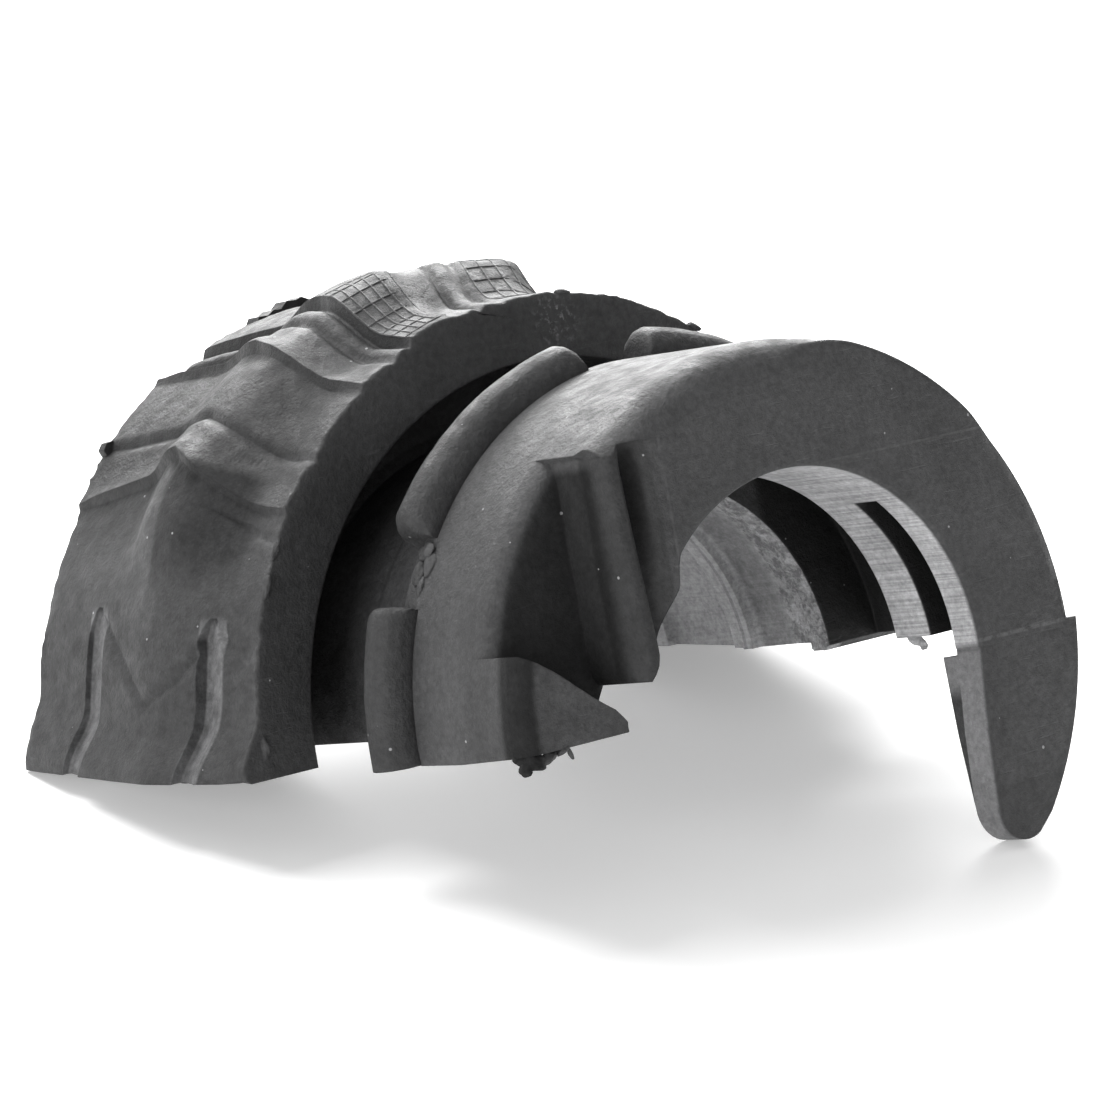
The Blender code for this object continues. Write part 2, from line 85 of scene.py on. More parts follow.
# Relief of the rear collar, as angles on its crest: the grooves, the swells (start, highest, where
# the fall begins and ends), and how far the lines lean down at the front face and at the rear rim
GROOVES = (86.2, 90.0, 107.8, 111.8, 130.0)
SWELLS = ((93.0, 97.0, 106.5, 107.4), (112.5, 118.0, 118.0, 118.9), (130.6, 136.0, 136.0, 136.9))
NOSES = (118.0, 136.0)
LEANS = (
    (70.0, 0.0, 0.0), (88.0, 8.0, 3.0), (110.0, 3.0, 4.0), (118.0, 3.0, 1.0), (130.0, 4.5, 2.0),
    (136.0, 6.8, 4.5), (152.0, 3.0, 2.0), (170.0, 0.0, 0.0),
)
SWELL_RISE = 0.55
GROOVE_DEPTH = 0.34
CREST_FADE_IN = (69.8, 75.8)
FACE_FADE_IN = (80.0, 86.0)
CREST_FADE_OUT = (143.0, 153.0)
FLARE = 1.4

# Marks scored low on the near side of the rear collar, as (x, angle) on its surface
FLOW_MARKS = (
    ((-35.9, 158.2), (-33.2, 164.3), (-31.0, 169.6), (-28.3, 166.3), (-25.7, 161.0)),
    ((-25.2, 160.1), (-23.2, 164.8), (-22.2, 161.1)),
    ((-29.2, 139.9), (-27.2, 143.5), (-24.1, 146.6), (-22.2, 147.6)),
)

# Upright slots low on the near side of the rear collar: x and angle of the top, and the lean
REAR_SLOTS = ((-36.8, 156.0, 1.9), (-25.7, 158.3, 1.4))
REAR_SLOT_BOTTOM = 185.0
REAR_SLOT_DEPTH = 0.42

# Start and end angle of each rolled lobe, and the top of the narrow slot in the bore
LOBES = ((-4.0, 24.0), (37.0, 84.0), (98.0, 143.0), (155.6, 184.0))
SLOT_TOP_ANGLE = 48.0

# The scoop, the face of the tongue under it, and the lip that leans into the bore
SCOOP_FLOOR = -5.5
SCOOP_WALL_Y = -12.4
SCOOP_TOP = 15.8
TONGUE_X = -2.4
LIP_BULGE = 0.9

# How far in the rounding of the front face's outer edge reaches, over the top
EDGE_ROUND = 2.3

# The claw on the far side
CLAW_FACE_X = -0.12
CLAW_DEPTH = 3.8
CLAW_TIP_DEPTH = 2.0
CLAW_TIP_Z = -12.3

# Heights of the split face at the neck and at the rear rim
NECK_SPLIT = 0.5
RIM_SPLIT = 1.7

# How far the bore is tipped up and rolled as the part lies at rest
REST_TILT = 18.8
REST_ROLL = 0.36

# The front end of the bore's axis in the row frame, in millimetres
BORE_ORIGIN = Vector((23.082, 1.195, 12.365))

# The photo's viewpoint, found from the edges of the front face and the bore, in the bore frame
VIEW_RIGHT = Vector((0.6006, 0.7795, -0.1781))
VIEW_UP = Vector((0.0623, 0.1764, 0.9823))
VIEW_BACK = Vector((0.7971, -0.6011, 0.0574))
VIEW_DISTANCE = 300.0
VIEW_OFFSET = (-15.871, 7.550)
LENS = 169.39
SENSOR = 36.0

# The turned body reaches a little past the split at both sides, and is cut back to it
TURNED_FROM = -5.0
TURNED_TO = 185.0
ANGLE_STEP = 0.5
SHARP_ANGLE = 38.0

# How close points are when they are welded into one, in millimetres
WELD = 0.002
CLAW_WELD = 0.0005
WIRE_WELD = 0.00005

# Patches of raised lines on the rear collar's pads: the angles of the lines that run along the
# collar, and where they start and end
PAD_GRIDS = (
    ((96.6, 98.6, 100.6, 102.6, 104.6, 106.4), -31.0, -22.6),
    ((74.8, 76.8, 78.8, 80.8, 82.8, 84.8), -32.0, -23.4),
)
GRID_STEPS = 21
GRID_STEPS_PER_CROSS_LINE = 3
GRID_WIRE_RADIUS = 0.09
WIRE_SIDES = 6
GRID_SINK = 0.03

# Lightness of the clean rubber, and what each kind of mark changes it by or adds to it
RUBBER_TONE = 0.048
RUBBER_TINT = (1.0, 1.0, 1.02)
# The grid lines' copy of the rubber is lighter: painted light on the wires' lit tops
GRID_LIT_TOPS_LIGHTNESS = 1.7
SCRATCH_TONE = 0.22
TOOL_LINE_TONE = 0.2
SPECK_TONE = 0.22
SMUDGE_TONE = 0.1125
CLAW_LINE_TONE = 0.04

# Roughness of the smoothest and the most worn rubber, and what the dull hollows add to it
RUBBER_ROUGHNESS = (0.5, 0.68)
DULL_ROUGHNESS = 0.38
RUBBER_SPECULAR = 0.3

# Heights of the fine marks on the surface, in millimetres
CREASE_HEIGHT = 0.16
GRAIN_HEIGHT = 0.09
WAVE_HEIGHT = 0.15
SCRATCH_DEPTH = 0.02
TOOL_LINE_HEIGHT = 0.12
TORN_HEIGHT = 0.7
SPECK_HEIGHT = 0.05
SOFT_EDGE = 0.14
BUMP_STRENGTH = 0.8

# Floor, room and lamps, in metres
FLOOR_SIZE = 4.0
FLOOR_TONE = 0.8
FLOOR_GLOW = 0.3
ROOM_LIGHT = 0.55
LIGHT_DISTANCE = 0.42
LIT_HEIGHT = 0.015

# Name, direction from the object, size in metres, and power in watts
LIGHTS = (
    ("key", (-0.6, -0.1, 0.8), (0.3, 0.3), 2.7),
    ("back", (-0.75, 0.5, 0.4), (0.3, 0.15), 3.2),
    ("side", (0.25, -0.95, 0.15), (0.25, 0.25), 1.1),
)


def to_row_frame():
    tilt = Matrix.Rotation(math.radians(-REST_TILT), 4, "Y")
    roll = Matrix.Rotation(math.radians(-REST_ROLL), 4, "X")
    return Matrix.Translation(BORE_ORIGIN * MM) @ roll @ tilt


def smooth_step(start, end, value):
    t = min(1.0, max(0.0, (value - start) / (end - start)))
    return t * t * (3 - 2 * t)


def share_between(start, end, value):
    return min(1.0, max(0.0, (value - start) / (end - start)))


def mix(a, b, share):
    return a + (b - a) * share


def on_ring(x, r, angle):
    turn = math.radians(angle)
    return (x, r * math.cos(turn), r * math.sin(turn))


def polar(y, z):
    """The radius and the angle of a point, the angle kept between 0 and 180."""
    angle = math.degrees(math.atan2(z, y))
    if angle < -90.0:
        angle += 360.0
    return math.hypot(y, z), max(0.0, min(180.0, angle))


def roughness(place, size, seed=0.0):
    """Smooth noise from about -1 to 1, whose bumps are about size millimetres wide."""
    return noise.noise(Vector(place) / size + Vector((seed, 0.0, 0.0)))


def add_object(name, data):
    obj = bpy.data.objects.new(name, data)
    bpy.context.scene.collection.objects.link(obj)
    return obj


def mesh_from_bmesh(name, built):
    bmesh.ops.recalc_face_normals(built, faces=built.faces)
    mesh = bpy.data.meshes.new(name)
    built.to_mesh(mesh)
    built.free()
    return mesh


def taken_as_mesh(obj, weld=WELD):
    """The object's evaluated shape as a mesh in world space, welded. The object is removed."""
    bpy.context.view_layer.update()
    graph = bpy.context.evaluated_depsgraph_get()
    mesh = bpy.data.meshes.new_from_object(obj.evaluated_get(graph))
    mesh.transform(obj.matrix_world)
    name = obj.name
    bpy.data.objects.remove(obj, do_unlink=True)
    built = bmesh.new()
    built.from_mesh(mesh)
    bpy.data.meshes.remove(mesh)
    bmesh.ops.remove_doubles(built, verts=built.verts, dist=weld * MM)
    return mesh_from_bmesh(name, built)


def filleted(profile, fillets, pieces=4):
    """The closed profile with a curve in place of each corner that fillets gives a radius."""
    made = []
    count = len(profile)
    for i, corner in enumerate(profile):
        radius = fillets.get(i, 0.0)
        here = Vector(corner)
        before = Vector(profile[i - 1]) - here
        after = Vector(profile[(i + 1) % count]) - here
        if radius <= 0.0:
            made.append(tuple(here))
            continue
        start = here + before.normalized() * min(radius, 0.45 * before.length)
        end = here + after.normalized() * min(radius, 0.45 * after.length)
        for step in range(pieces + 1):
            t = step / pieces
            made.append(tuple((1 - t) ** 2 * start + 2 * t * (1 - t) * here + t * t * end))
    return made


def divided(profile, longest):
    """The closed profile with extra points where a side is longer than longest(x, r) there."""
    made = []
    for i, point in enumerate(profile):
        after = profile[(i + 1) % len(profile)]
        limit = min(longest(*point), longest(*after))
        pieces = max(1, math.ceil(math.dist(point, after) / limit))
        made += [
            tuple(a + (b - a) * k / pieces for a, b in zip(point, after)) for k in range(pieces)
        ]
    return made


def turned(name, profile, start, end, step):
    """A closed (x, r) profile turned about X from one angle to another, and capped."""
    mesh = bpy.data.meshes.new(name)
    count = len(profile)
    first = math.radians(start)
    mesh.from_pydata(
        [(x * MM, r * MM * math.cos(first), r * MM * math.sin(first)) for x, r in profile],
        [(i, (i + 1) % count) for i in range(count)],
        [],
    )
    obj = add_object(name + "_profile", mesh)
    screw = obj.modifiers.new("Turn", "SCREW")
    screw.axis = "X"
    screw.angle = math.radians(end - start)
    screw.steps = screw.render_steps = round((end - start) / step)
    screw.use_merge_vertices = False
    made = taken_as_mesh(obj)
    built = bmesh.new()
    built.from_mesh(made)
    bmesh.ops.holes_fill(built, edges=[e for e in built.edges if e.is_boundary], sides=0)
    bpy.data.meshes.remove(made)
    return add_object(name, mesh_from_bmesh(name, built))


def extruded_outline(name, outline, depth):
    curve = bpy.data.curves.new(name, "CURVE")
    curve.dimensions = "2D"
    curve.fill_mode = "BOTH"
    curve.extrude = depth * MM / 2
    spline = curve.splines.new("POLY")
    spline.points.add(len(outline) - 1)
    for point, (u, v) in zip(spline.points, outline):
        point.co = (u * MM, v * MM, 0.0, 1.0)
    spline.use_cyclic_u = True
    return add_object(name, taken_as_mesh(add_object(name + "_outline", curve)))


def across_the_bore(name, outline, x_from, x_to):
    """A slab whose outline is given as (y, z), reaching from x_from to x_to."""
    slab = extruded_outline(name, outline, x_to - x_from)
    turn = Matrix(((0, 0, 1, 0), (1, 0, 0, 0), (0, 1, 0, 0), (0, 0, 0, 1)))
    slab.data.transform(Matrix.Translation(((x_from + x_to) / 2 * MM, 0, 0)) @ turn)
    return slab


def along_the_bore(name, outline, y_from, y_to):
    """A slab whose outline is given as (x, z), reaching from y_from to y_to."""
    slab = extruded_outline(name, outline, y_to - y_from)
    turn = Matrix(((1, 0, 0, 0), (0, 0, -1, 0), (0, 1, 0, 0), (0, 0, 0, 1)))
    slab.data.transform(Matrix.Translation((0, (y_from + y_to) / 2 * MM, 0)) @ turn)
    return slab


def lofted(name, sections):
    """A closed solid through sections that have the same number of (x, y, z) points."""
    built = bmesh.new()
    rings = [[built.verts.new([c * MM for c in point]) for point in section] for section in sections]
    for ring, after in zip(rings, rings[1:]):
        for i, vertex in enumerate(ring):
            built.faces.new((ring[i - 1], vertex, after[i], after[i - 1]))
    built.faces.new(rings[0])
    built.faces.new(rings[-1])
    return add_object(name, mesh_from_bmesh(name, built))


def cut_or_join(obj, operation, others):
    """The object after a Boolean with several others at once, which are used up."""
    group = bpy.data.collections.new(operation.lower())
    for other in others:
        group.objects.link(other)
    modifier = obj.modifiers.new(operation, "BOOLEAN")
    modifier.operation = operation
    modifier.solver = "MANIFOLD"
    modifier.operand_type = "COLLECTION"
    modifier.collection = group
    bpy.context.view_layer.update()
    graph = bpy.context.evaluated_depsgraph_get()
    made = add_object(obj.name, bpy.data.meshes.new_from_object(obj.evaluated_get(graph)))
    for other in [obj] + others:
        bpy.data.objects.remove(other, do_unlink=True)
    bpy.data.collections.remove(group)
    return made


def torn_bit(name, centre, size, turn):
    """A ragged crumb of rubber, given by its centre, half sizes and turns about X, Y and Z."""
    raggedness = 0.3
    built = bmesh.new()
    bmesh.ops.create_icosphere(built, subdivisions=4, radius=1.0)
    lean = Matrix.Rotation(math.radians(turn[0]), 3, "X")
    lean = Matrix.Rotation(math.radians(turn[1]), 3, "Y") @ lean
    lean = Matrix.Rotation(math.radians(turn[2]), 3, "Z") @ lean
    for vertex in built.verts:
        unit = Vector(vertex.co)
        ragged = 1.0 + raggedness * roughness(unit, 0.9, 3.1 * centre[0] + centre[1])
        ragged += 0.3 * raggedness * roughness(unit, 0.35, centre[2])
        place = Vector([u * s * ragged for u, s in zip(unit, size)])
        vertex.co = (lean @ place + Vector(centre)) * MM
    return add_object(name, mesh_from_bmesh(name, built))


def lean_at(x, angle):
    """How far a line over the rear collar has leaned down at x from its angle on the crest."""
    ahead = math.sin(0.5 * math.pi * share_between(CREST_X, FACE_X, x))
    behind = share_between(CREST_X, RIM_X, x)
    for (start, *first), (end, *second) in zip(LEANS, LEANS[1:]):
        if start <= angle <= end:
            share = share_between(start, end, angle)
            return mix(first[0], second[0], share) * ahead + mix(first[1], second[1], share) * behind
    return 0.0


def relief(x, angle):
    """Grooves, swells and the noses that the swells end in at the crest."""
    height = 0.0
    for groove in GROOVES:
        height -= GROOVE_DEPTH * math.exp(-(((angle - groove) / 0.65) ** 2))
    for low, high in zip(GROOVES[0:4:2], GROOVES[1:4:2]):
        height += 0.12 * math.exp(-(((angle - 0.5 * (low + high)) / 1.1) ** 2))
    for start, full, until, gone in SWELLS:
        rise = share_between(start, full, angle) ** 2
        height += SWELL_RISE * rise * (1 - smooth_step(until, gone, angle))
    for nose in NOSES:
        near = math.exp(-(((x - CREST_X) / 1.6) ** 2))
        height += 0.3 * near * math.exp(-(((angle - nose + 0.8) / 1.6) ** 2))
    return height


def flow_mark_depth(x, angle):
    """How deep the scored marks are at a place on the rear collar's near side."""
    nearest = 9.0
    across = math.radians(1.0) * BARREL_R
    here = Vector((x, angle * across))
    for mark in FLOW_MARKS:
        for (xa, ta), (xb, tb) in zip(mark, mark[1:]):
            a = Vector((xa, ta * across))
            along = Vector((xb, tb * across)) - a
            share = share_between(0.0, 1.0, (here - a).dot(along) / along.length_squared)
            nearest = min(nearest, (here - a - along * share).length)
    return 0.26 * math.exp(-((nearest / 0.3) ** 2))


def rear_collar_radius(x, angle):
    """The outside radius of the rear collar, at an angle that is counted on the crest."""
    ahead = share_between(CREST_X, FACE_X, x)
    behind = share_between(CREST_X, RIM_X, x)
    rear_pad = smooth_step(116.0, 119.0, angle) * (1 - smooth_step(128.0, 137.0, angle))
    if x > CREST_X:
        ridge = 1 - smooth_step(0.17, 0.73, ahead)
        foot = FACE_R + 0.2 * (BARREL_R - FACE_R) * (1 - ahead)
    else:
        ridge = 1 - smooth_step(0.05, 0.38, behind)
        foot = BACK_R + 0.5 * rear_pad
    at_edges = 0.6 + 0.4 * smooth_step(0.0, 0.3, min(1 - ahead, 1 - behind))
    crest = mix(foot, CREST_R, ridge) + relief(x, angle) * at_edges
    if angle > 110.0:
        barrel = mix(BARREL_R, FACE_R, smooth_step(0.05, 1.0, ahead)) - 0.5 * behind
    else:
        barrel = FACE_R - 0.3 * (1 - smooth_step(55.0, 72.0, angle))
    fade_in = [mix(a, b, ahead) for a, b in zip(CREST_FADE_IN, FACE_FADE_IN)]
    crested = smooth_step(*fade_in, angle) * (1 - smooth_step(*CREST_FADE_OUT, angle))
    side = max(angle, 180.0 - angle)
    rearward = smooth_step(0.0, 1.0, behind)
    flare = FLARE * smooth_step(172.0 - 6.0 * rearward, 180.0 - 4.0 * rearward, side)
    worn = 0.05 * roughness((x, 0.5 * angle, 0.0), 2.3) + 0.025 * roughness((x, 0.5 * angle, 5.0), 0.7)
    return mix(barrel, crest, crested) + flare + worn


def lip_bulge(angle):
    return LIP_BULGE * smooth_step(133.0, 143.0, angle) * (1 - smooth_step(163.0, 177.0, angle))


def shaped_rear(x, radius, angle):
    """A point of the turned rear collar moved onto its relief, its two edges left ragged."""
    wanted = rear_collar_radius(x, angle) - (FACE_R - radius)
    turned_to = angle
    if 0.0 < angle < 180.0:
        turned_to += lean_at(x, angle)
        if angle > 140.0:
            wanted -= flow_mark_depth(x, turned_to)
    place = on_ring(x, radius, turned_to)
    torn = smooth_step(FACE_X - 0.9, FACE_X, x) + smooth_step(RIM_X + 0.9, RIM_X, x)
    if torn > 0.0 and angle > 25.0:
        wanted += torn * (0.16 * roughness(place, 1.9) + 0.11 * roughness(place, 0.6) - 0.04)
    return on_ring(x, wanted, turned_to)


def blank_profile():
    """The turned body's section as (x, r): its outside from the front face, then its bore."""
    outside = [
        (0.0, COLLAR_R),
        (COLLAR_END, COLLAR_R),
        (COLLAR_END - 0.46, COLLAR_R - 0.8),
        (NECK_START + 0.46, COLLAR_R - 1.0),
        (NECK_START, NECK_R),
        (POCKET_END + 0.6, NECK_R),
        (POCKET_END, NECK_R + 0.6),
        (POCKET_END, FACE_INNER_R - 0.6),
        (POCKET_END + 0.6, FACE_INNER_R),
        (FACE_X, FACE_INNER_R),
        (FACE_X, FACE_R),
        (CREST_X, FACE_R),
        (RIM_X, FACE_R),
    ]
    inside = [
        (RIM_X, BORE_R + 0.7),
        (RIM_X + 0.7, BORE_R),
        (-29.6, BORE_R),
        (-29.6, BORE_R + 0.7),
        (-23.2, BORE_R + 0.7),
        (-23.2, BORE_R),
        (-21.3, BORE_R),
        (-21.3, BORE_R + 0.7),
        (-18.4, BORE_R + 0.9),
        (-15.8, BORE_R + 0.7),
        (-15.6, BORE_R + 0.1),
        (GROOVE_END, BORE_R + 0.1),
        (GROOVE_END, GROOVE_R),
        (GROOVE_START, GROOVE_R),
        (GROOVE_START, BORE_R),
        (SLOT_END, BORE_R),
        (LAND_END, BORE_R),
        (0.0, BORE_R),
    ]
    # Radius of each rounded corner, by the corner's number
    last = len(outside) - 1
    fillets = {0: 0.4, 1: 0.25, 3: 0.3, 4: 0.4, 9: 0.2, 10: 0.22, last: 0.3}
    fillets.update({last + 4: 0.2, last + 6: 0.25, last + 8: 0.25, last + 13: 0.12, last + 15: 0.1})
    fillets[len(outside) + len(inside) - 1] = 0.22

    def longest(x, r):
        """How long a side may be. It is short where the surface is shaped afterwards."""
        if x <= FACE_X and r > FACE_R - 0.4:
            return 0.34
        if r < BORE_R + 1.0 and -16.2 < x < -13.8:
            return 0.3
        if x > -EDGE_ROUND - 0.3 and r > COLLAR_R - EDGE_ROUND - 0.3:
            return 0.3
        return 1.3

    return divided(filleted(outside + inside, fillets), longest)


def front_edge_rounded(x, radius, angle):
    """x and radius of a point by the front face's outer edge, well rounded over the top."""
    share = smooth_step(70.0, 88.0, angle) * (1 - smooth_step(131.0, 141.0, angle))
    ahead = x / EDGE_ROUND + 1.0
    out = (radius - COLLAR_R) / EDGE_ROUND + 1.0
    pull = mix(1.0, min(1.0, 1.0 / math.hypot(ahead, out)), share)
    return (ahead * pull - 1.0) * EDGE_ROUND, COLLAR_R + (out * pull - 1.0) * EDGE_ROUND


def build_blank():
    """The turned body: bore lands and grooves, front collar, neck and rear collar."""
    blank = turned("bushing", blank_profile(), TURNED_FROM, TURNED_TO, ANGLE_STEP)
    for vertex in blank.data.vertices:
        x, y, z = (c / MM for c in vertex.co)
        radius, angle = polar(y, z)
        if x > GROOVE_START - 0.1 and radius < BORE_R + 0.5:
            # The lip leans into the bore on the near side
            wanted = radius - lip_bulge(angle)
        elif -16.0 < x < -14.05 and radius < BORE_R + 1.0:
            # The ring behind the deep groove is torn
            wanted = radius + 0.22 * roughness((x, y, z), 0.8) + 0.12 * roughness((x, y, z), 0.35)
        elif x < FACE_X + 0.05 and radius > FACE_R - 0.35:
            # The rear collar carries the relief
            vertex.co = [c * MM for c in shaped_rear(x, radius, angle)]
            continue
        elif x > -EDGE_ROUND and radius > COLLAR_R - EDGE_ROUND and 70.0 < angle < 141.0:
            wanted_x, wanted = front_edge_rounded(x, radius, angle)
            vertex.co.x = wanted_x * MM
        elif x > -1.2 and radius > COLLAR_R - 1.2 and angle < 60.0:
            # The outer edge of the front face is worn rounder on the far side
            wear = smooth_step(44.0, 34.0, angle) * smooth_step(COLLAR_R - 1.2, COLLAR_R, radius)
            vertex.co.x -= 0.45 * wear * MM
            continue
        else:
            continue
        vertex.co.y *= wanted / radius
        vertex.co.z *= wanted / radius
    return blank


def build_lobes():
    """The rolled lobes round the back of the front collar, their ends squared off."""
    front = SEAM_X + 0.05
    back = NECK_START + 0.3
    section = [
        (front, 17.6), (front, COLLAR_R - 0.3), (front + 0.02, COLLAR_R + 0.5), (-13.22, 21.1),
        (-13.55, 21.6), (-14.1, 21.92), (-14.7, LOBE_R), (-15.3, 21.82), (-15.8, 21.3),
        (-16.05, 20.5), (back, 19.3), (back, 17.6),
    ]
    profile = divided(section, lambda x, r: 0.4)
    made = []
    for number, (start, end) in enumerate(LOBES, 1):
        lobe = turned(f"lobe_{number}", profile, start, end, ANGLE_STEP)
        for vertex in lobe.data.vertices:
            x, y, z = (c / MM for c in vertex.co)
            radius, angle = math.hypot(y, z), math.degrees(math.atan2(z, y))
            if angle < -90.0:
                angle += 360.0
            inside = share_between(0.0, 2.6, min(angle - start, end - angle))
            fullness = math.sqrt(1 - (1 - inside) ** 2)
            wanted = mix(min(radius, 19.9), radius, 0.5 + 0.5 * fullness)
            wanted += 0.05 * roughness((x, y, z), 1.4)
            vertex.co.y *= wanted / radius
            vertex.co.z *= wanted / radius
        made.append(lobe)
    return made


def build_seams():
    """The fine groove between the lobes and the smooth collar."""
    groove = [
        (SEAM_X - 0.02, COLLAR_R - 0.28), (SEAM_X + 0.24, COLLAR_R - 0.22), (SEAM_X + 0.3, 21.0),
        (SEAM_X + 0.04, 23.0),
    ]
    return [turned(f"seam_{n}", groove, start, end, 1.0) for n, (start, end) in enumerate(LOBES, 1)]


def arc(centre, radius, start, end, steps):
    """Points on part of a circle, from one angle to another."""
    made = []
    for step in range(steps + 1):
        turn = math.radians(start + (end - start) * step / steps)
        made.append((centre[0] + radius * math.cos(turn), centre[1] + radius * math.sin(turn)))
    return made


def build_claw():
    """The long claw below the far side of the front collar, its edges softened."""
    tip_r = 1.9
    inner = 11.8
    highest = math.degrees(math.asin(-tip_r / COLLAR_R))
    lowest = math.degrees(math.asin((CLAW_TIP_Z * 0.9 - tip_r) / COLLAR_R))
    outline = [(19.5, 2.4), (19.5, 0.0)]
    outline += arc((0.22 * tip_r, tip_r), COLLAR_R, highest, lowest, 24)
    outline += arc((inner + tip_r, CLAW_TIP_Z + tip_r), tip_r, 300.0, 180.0, 12)
    outline += [(12.04, -5.5), (12.6, 0.0), (12.6, 2.4)]
    claw = across_the_bore("claw", outline, -CLAW_DEPTH, CLAW_FACE_X)
    bevel = claw.modifiers.new("Softened", "BEVEL")
    bevel.width = 0.3 * MM
    bevel.segments = 3
    bevel.limit_method = "ANGLE"
    bevel.angle_limit = math.radians(40)
    mesh = taken_as_mesh(claw, CLAW_WELD)
    for vertex in mesh.vertices:
        if vertex.co.x < -0.5 * CLAW_DEPTH * MM:
            down = share_between(0.0, CLAW_TIP_Z, vertex.co.z / MM)
            vertex.co.x = -mix(CLAW_DEPTH, CLAW_TIP_DEPTH, down) * MM
    return add_object("claw", mesh)


def build_scoop():
    """The scoop on the near side, its outer edge rolled over and its floor a little uneven."""
    profile = [
        (1.0, 10.0), (SCOOP_FLOOR, 10.0), (SCOOP_FLOOR, 18.4), (-5.56, 18.9), (-5.7, 19.35),
        (-5.95, 19.7), (-6.3, 19.95), (-6.8, 20.12), (-8.2, 20.4), (-8.2, 23.0), (1.0, 23.0),
    ]
    ring = turned("scoop", divided(profile, lambda x, r: 0.7), 110.0, 200.0, 0.75)
    for vertex in ring.data.vertices:
        if vertex.co.x < -5.0 * MM:
            x, y, z = (c / MM for c in vertex.co)
            vertex.co.x += (0.12 * roughness((x, y, z), 3.0) + 0.05 * roughness((x, y, z), 1.0)) * MM
    window = across_the_bore(
        "scoop_window",
        [
            (SCOOP_WALL_Y, 2.9), (SCOOP_WALL_Y - 0.05, 9.0), (SCOOP_WALL_Y, SCOOP_TOP - 0.5),
            (SCOOP_WALL_Y - 0.5, SCOOP_TOP), (-14.0, SCOOP_TOP - 0.12), (-23.0, SCOOP_TOP),
            (-23.0, 5.2), (-21.8, 5.25), (-20.7, 5.55), (-19.1, 5.2), (-18.2, 4.6), (-17.4, 4.0),
            (-16.0, 2.85), (-15.1, 2.2), (-14.3, 1.6), (-13.5, 1.05), (-12.56, -0.1), (-12.2, -0.4),
            (-10.0, -1.4), (-10.0, 1.9), (-12.1, 2.3),
        ],
        -11.0,
        0.9,
    )
    return cut_or_join(ring, "INTERSECT", [window])


def build_tongue_face():
    """What lies ahead of the tongue, whose outer edge is well rounded and whose lower end is torn."""
    profile = [
        (0.9, 10.0), (TONGUE_X, 10.0), (TONGUE_X, 18.3), (-2.5, 18.9), (-2.75, 19.4), (-3.15, 19.8),
        (-3.8, 20.1), (-5.6, 20.5), (-5.6, 23.0), (0.9, 23.0),
    ]
    ring = turned("tongue_face", divided(profile, lambda x, r: 0.7), 150.0, 200.0, 0.75)
    for vertex in ring.data.vertices:
        if vertex.co.x < -2.0 * MM:
            x, y, z = (c / MM for c in vertex.co)
            vertex.co.x += (0.22 * roughness((x, y, z), 2.2) + 0.08 * roughness((x, y, z), 0.8)) * MM
    window = across_the_bore(
        "tongue_window",
        [
            (-10.6, -5.6), (-23.0, -5.6), (-23.0, 6.2), (-12.7, 6.2), (-12.75, 4.6), (-13.4, 3.6),
            (-12.8, 2.9), (-12.3, 2.35), (-11.4, 2.15), (-10.6, 1.9),
        ],
        -11.0,
        0.8,
    )
    return cut_or_join(ring, "INTERSECT", [window])


def build_slab_face():
    """The dip between the front face and the bead that edges the scoop, lofted upwards."""
    sections = []
    for step in range(23):
        z = mix(-0.8, SCOOP_TOP + 0.05, step / 22)
        bead = mix(-11.55, -12.1, share_between(3.0, SCOOP_TOP, z))
        low = 1.0 - 0.5 * smooth_step(14.2, SCOOP_TOP, z)
        dip = mix(1.15, 1.75, smooth_step(4.0, 12.0, z)) * low
        row = [(0.9, -8.82), (0.0, -8.82), (-0.12, -8.95)]
        for share in (0.12, 0.24, 0.36, 0.48, 0.6, 0.7, 0.8, 0.9, 1.0):
            y = mix(-8.95, bead + 0.8, share)
            row.append((-0.12 - (dip - 0.12) * smooth_step(0.0, 1.0, share) ** 1.3, y))
        for turn in (25.0, 50.0, 75.0, 100.0, 125.0, 150.0):
            rise = (dip - 0.62) * math.sin(math.radians(min(90.0, 1.2 * turn)))
            fall = 0.5 * share_between(75.0, 150.0, turn) ** 2
            row.append((rise - dip - fall, bead + 0.15 + 0.65 * math.cos(math.radians(turn))))
        row += [(-2.6, SCOOP_WALL_Y + 0.02), (-3.4, SCOOP_WALL_Y - 0.4), (0.9, SCOOP_WALL_Y - 0.4)]
        wobble = 0.05 * roughness((0.0, 0.0, z), 1.6)
        sections.append([(x + (wobble if x < 0.0 else 0.0), y, z) for x, y in row])
    return lofted("slab_face", sections)


def build_splits():
    """What lies under the split face: it climbs to the rear, and is higher at the neck."""
    whole = along_the_bore(
        "under_split",
        [
            (3.0, -40.0), (3.0, -0.4), (TONGUE_X, -0.4), (-9.0, -0.62), (-16.2, -0.5), (FACE_X, -0.2),
            (-30.0, 0.5), (RIM_X, RIM_SPLIT), (-50.0, 2.3), (-50.0, -40.0),
        ],
        -40.0,
        40.0,
    )
    neck = across_the_bore(
        "under_neck",
        [(-20.5, -20.0), (20.5, -20.0), (20.5, NECK_SPLIT), (-20.5, NECK_SPLIT)],
        POCKET_END + 0.15,
        NECK_START - 0.15,
    )
    far = along_the_bore(
        "under_far_wall",
        [
            (-CLAW_DEPTH, -20.0), (-CLAW_DEPTH, 0.5), (GROOVE_END, 0.4), (-14.4, 0.05), (FACE_X, 0.15),
            (FACE_X - 0.3, 0.6), (-50.0, 2.4), (-50.0, -20.0),
        ],
        5.0,
        40.0,
    )
    return [whole, neck, far]


